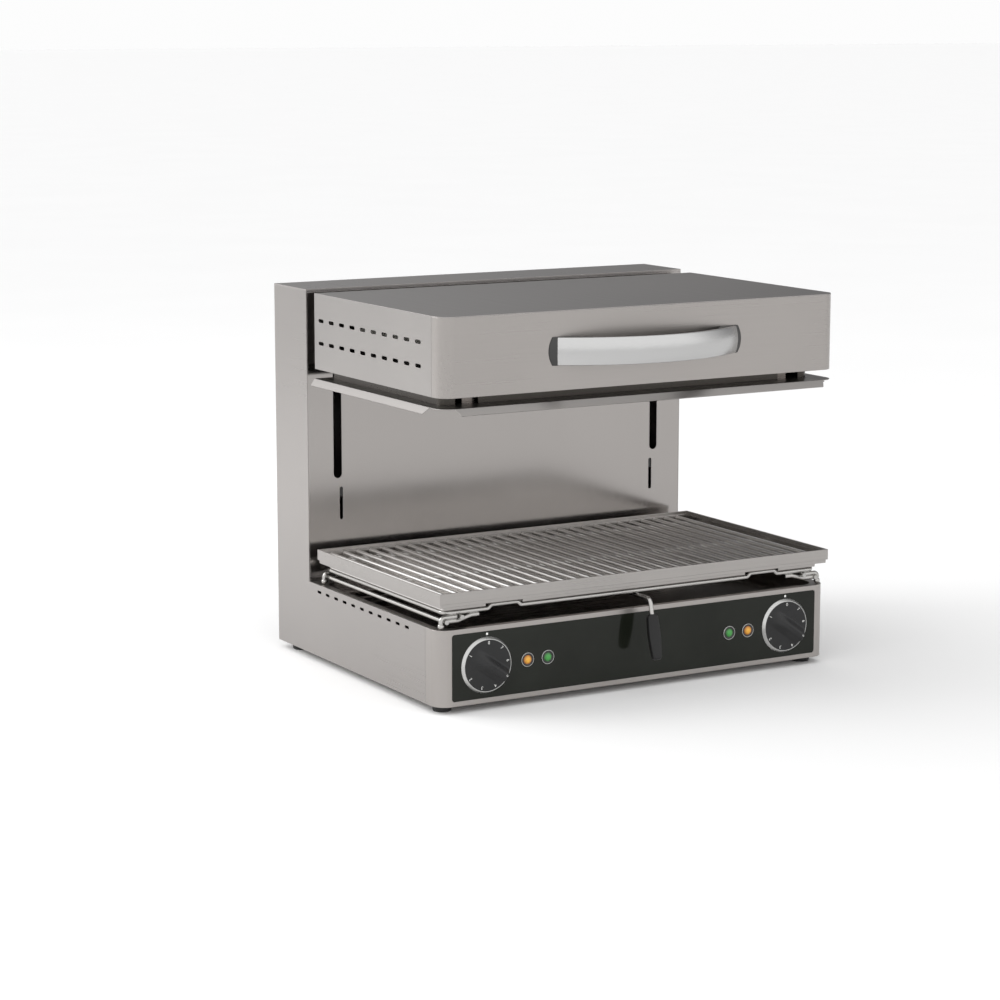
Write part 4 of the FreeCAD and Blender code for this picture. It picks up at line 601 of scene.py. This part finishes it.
make_piece("strap", [bowed_strap()], strap_metal, "hood", "handle_strap", slot="satin_aluminium")
dress(cap_grey, "handle_cap_left", "handle_cap_right")
dress(zinc, "handle_screws")

# Lift: two bright guide rods in brackets, and a plated carriage on bronze bushes whose arms reach
# through the column's slots to the hood.
bronze = satin_steel("bearing_bronze", (0.62, 0.42, 0.18), 0.34, "Z", 0.05, 0.08)
dress(wire_steel, "guide_rod_left", "guide_rod_right")
# The guide brackets take the black moulding so that the column's slots show black: painted shade.
dress(black, "guide_brackets")
dress(zinc, "carriage")
dress(bronze, "guide_bushes")

# Balance: a cast iron weight on an endless rubber belt over two black pulleys. The belt is clamped
# to the carriage, so the weight rises as the hood comes down.
iron = moulding("cast_iron", (0.045, 0.045, 0.047), 0.6, 260.0, 0.5)
dress(iron, "counterweight")
dress(plain_steel, "counterweight_guides", "pulley_brackets")
dress(black, "pulley_top", "pulley_bottom")
dress(wire_steel, "pulley_pins")
dress(rubber, "drive_belt")

# Studio: a wide pale floor, two large soft lamps above the left and the back left, and a pale
# surround that is dimmer towards the back right. Past the floor the camera sees plain white.
FLOOR_REACH = 60.0
DIM_SIDE = (0.80, 0.50, 0.33)
floor_marks = np.linspace(-FLOOR_REACH, FLOOR_REACH, 3)
u, v = np.meshgrid(floor_marks, floor_marks)
floor_mesh = bpy.data.meshes.new("floor")
floor_mesh.from_pydata(np.stack([u, v, 0 * u], -1).reshape(-1, 3).tolist(), [],
                       [(i, i + 1, i + 4, i + 3) for i in (0, 1, 3, 4)])
floor = bpy.data.objects.new("floor", floor_mesh)
bpy.context.scene.collection.objects.link(floor)
paper, tree, shader = blank_finish("floor_paper")
place = add(tree, "TexCoord").outputs["Object"]
join(tree, shader, colour=ramp(tree, noise(tree, place, 2.0), (0.3, (0.895, 0.895, 0.895)),
                               (0.7, (0.905, 0.905, 0.905))))
shader.inputs["Roughness"].default_value = 0.9
shader.inputs["Specular IOR Level"].default_value = 0.1
floor_mesh.materials.append(paper)

world = bpy.data.worlds.new("surround")
world.use_nodes = True
bpy.context.scene.world = world
tree = world.node_tree
sky = tree.nodes["Background"]
way = add(tree, "TexCoord").outputs["Generated"]
toward = add(tree, "VectorMath", {0: way, 1: DIM_SIDE}, operation="DOT_PRODUCT").outputs["Value"]
tone = ramp(tree, toward, (0.40, (1, 1, 1)), (0.95, (0.13, 0.13, 0.133)))
tree.links.new(tone, sky.inputs["Color"])
sky.inputs["Strength"].default_value = 1.33
backdrop = add(tree, "Background", {"Color": (1, 1, 1, 1), "Strength": 0.98})
seen = add(tree, "LightPath").outputs["Is Camera Ray"]
both = add(tree, "MixShader", {0: seen, 1: sky.outputs[0], 2: backdrop.outputs[0]})
tree.links.new(both.outputs[0], tree.nodes["World Output"].inputs["Surface"])


def soft_lamp(name, at, aim, size, power):
    """A square lamp that faces a point."""
    lamp = bpy.data.lights.new(name, "AREA")
    lamp.shape = "SQUARE"
    lamp.size = size
    lamp.energy = power
    item = bpy.data.objects.new(name, lamp)
    bpy.context.scene.collection.objects.link(item)
    item.location = at
    item.rotation_euler = (Vector(aim) - Vector(at)).to_track_quat("-Z", "Y").to_euler()


soft_lamp("key_lamp", (-2.5, 1.4, 1.7), (0, 0, 0.2), 1.5, 30)
soft_lamp("back_lamp", (-1.6, 2.1, 1.7), (0, 0, 0.2), 1.8, 9)

# Camera: it stands to the front left and a little above, where the photograph was taken from, and
# looks with the same narrow angle of view.
camera = bpy.data.cameras.new("camera")
camera.lens = 100.27
camera.sensor_width = 36.0
eye = bpy.data.objects.new("camera", camera)
bpy.context.scene.collection.objects.link(eye)
eye.location = (-1.93118, -3.18871, 0.87125)
eye.rotation_euler = (math.radians(80.07), 0, math.radians(-30))
bpy.context.scene.camera = eye
bpy.context.scene.view_settings.view_transform = "Standard"
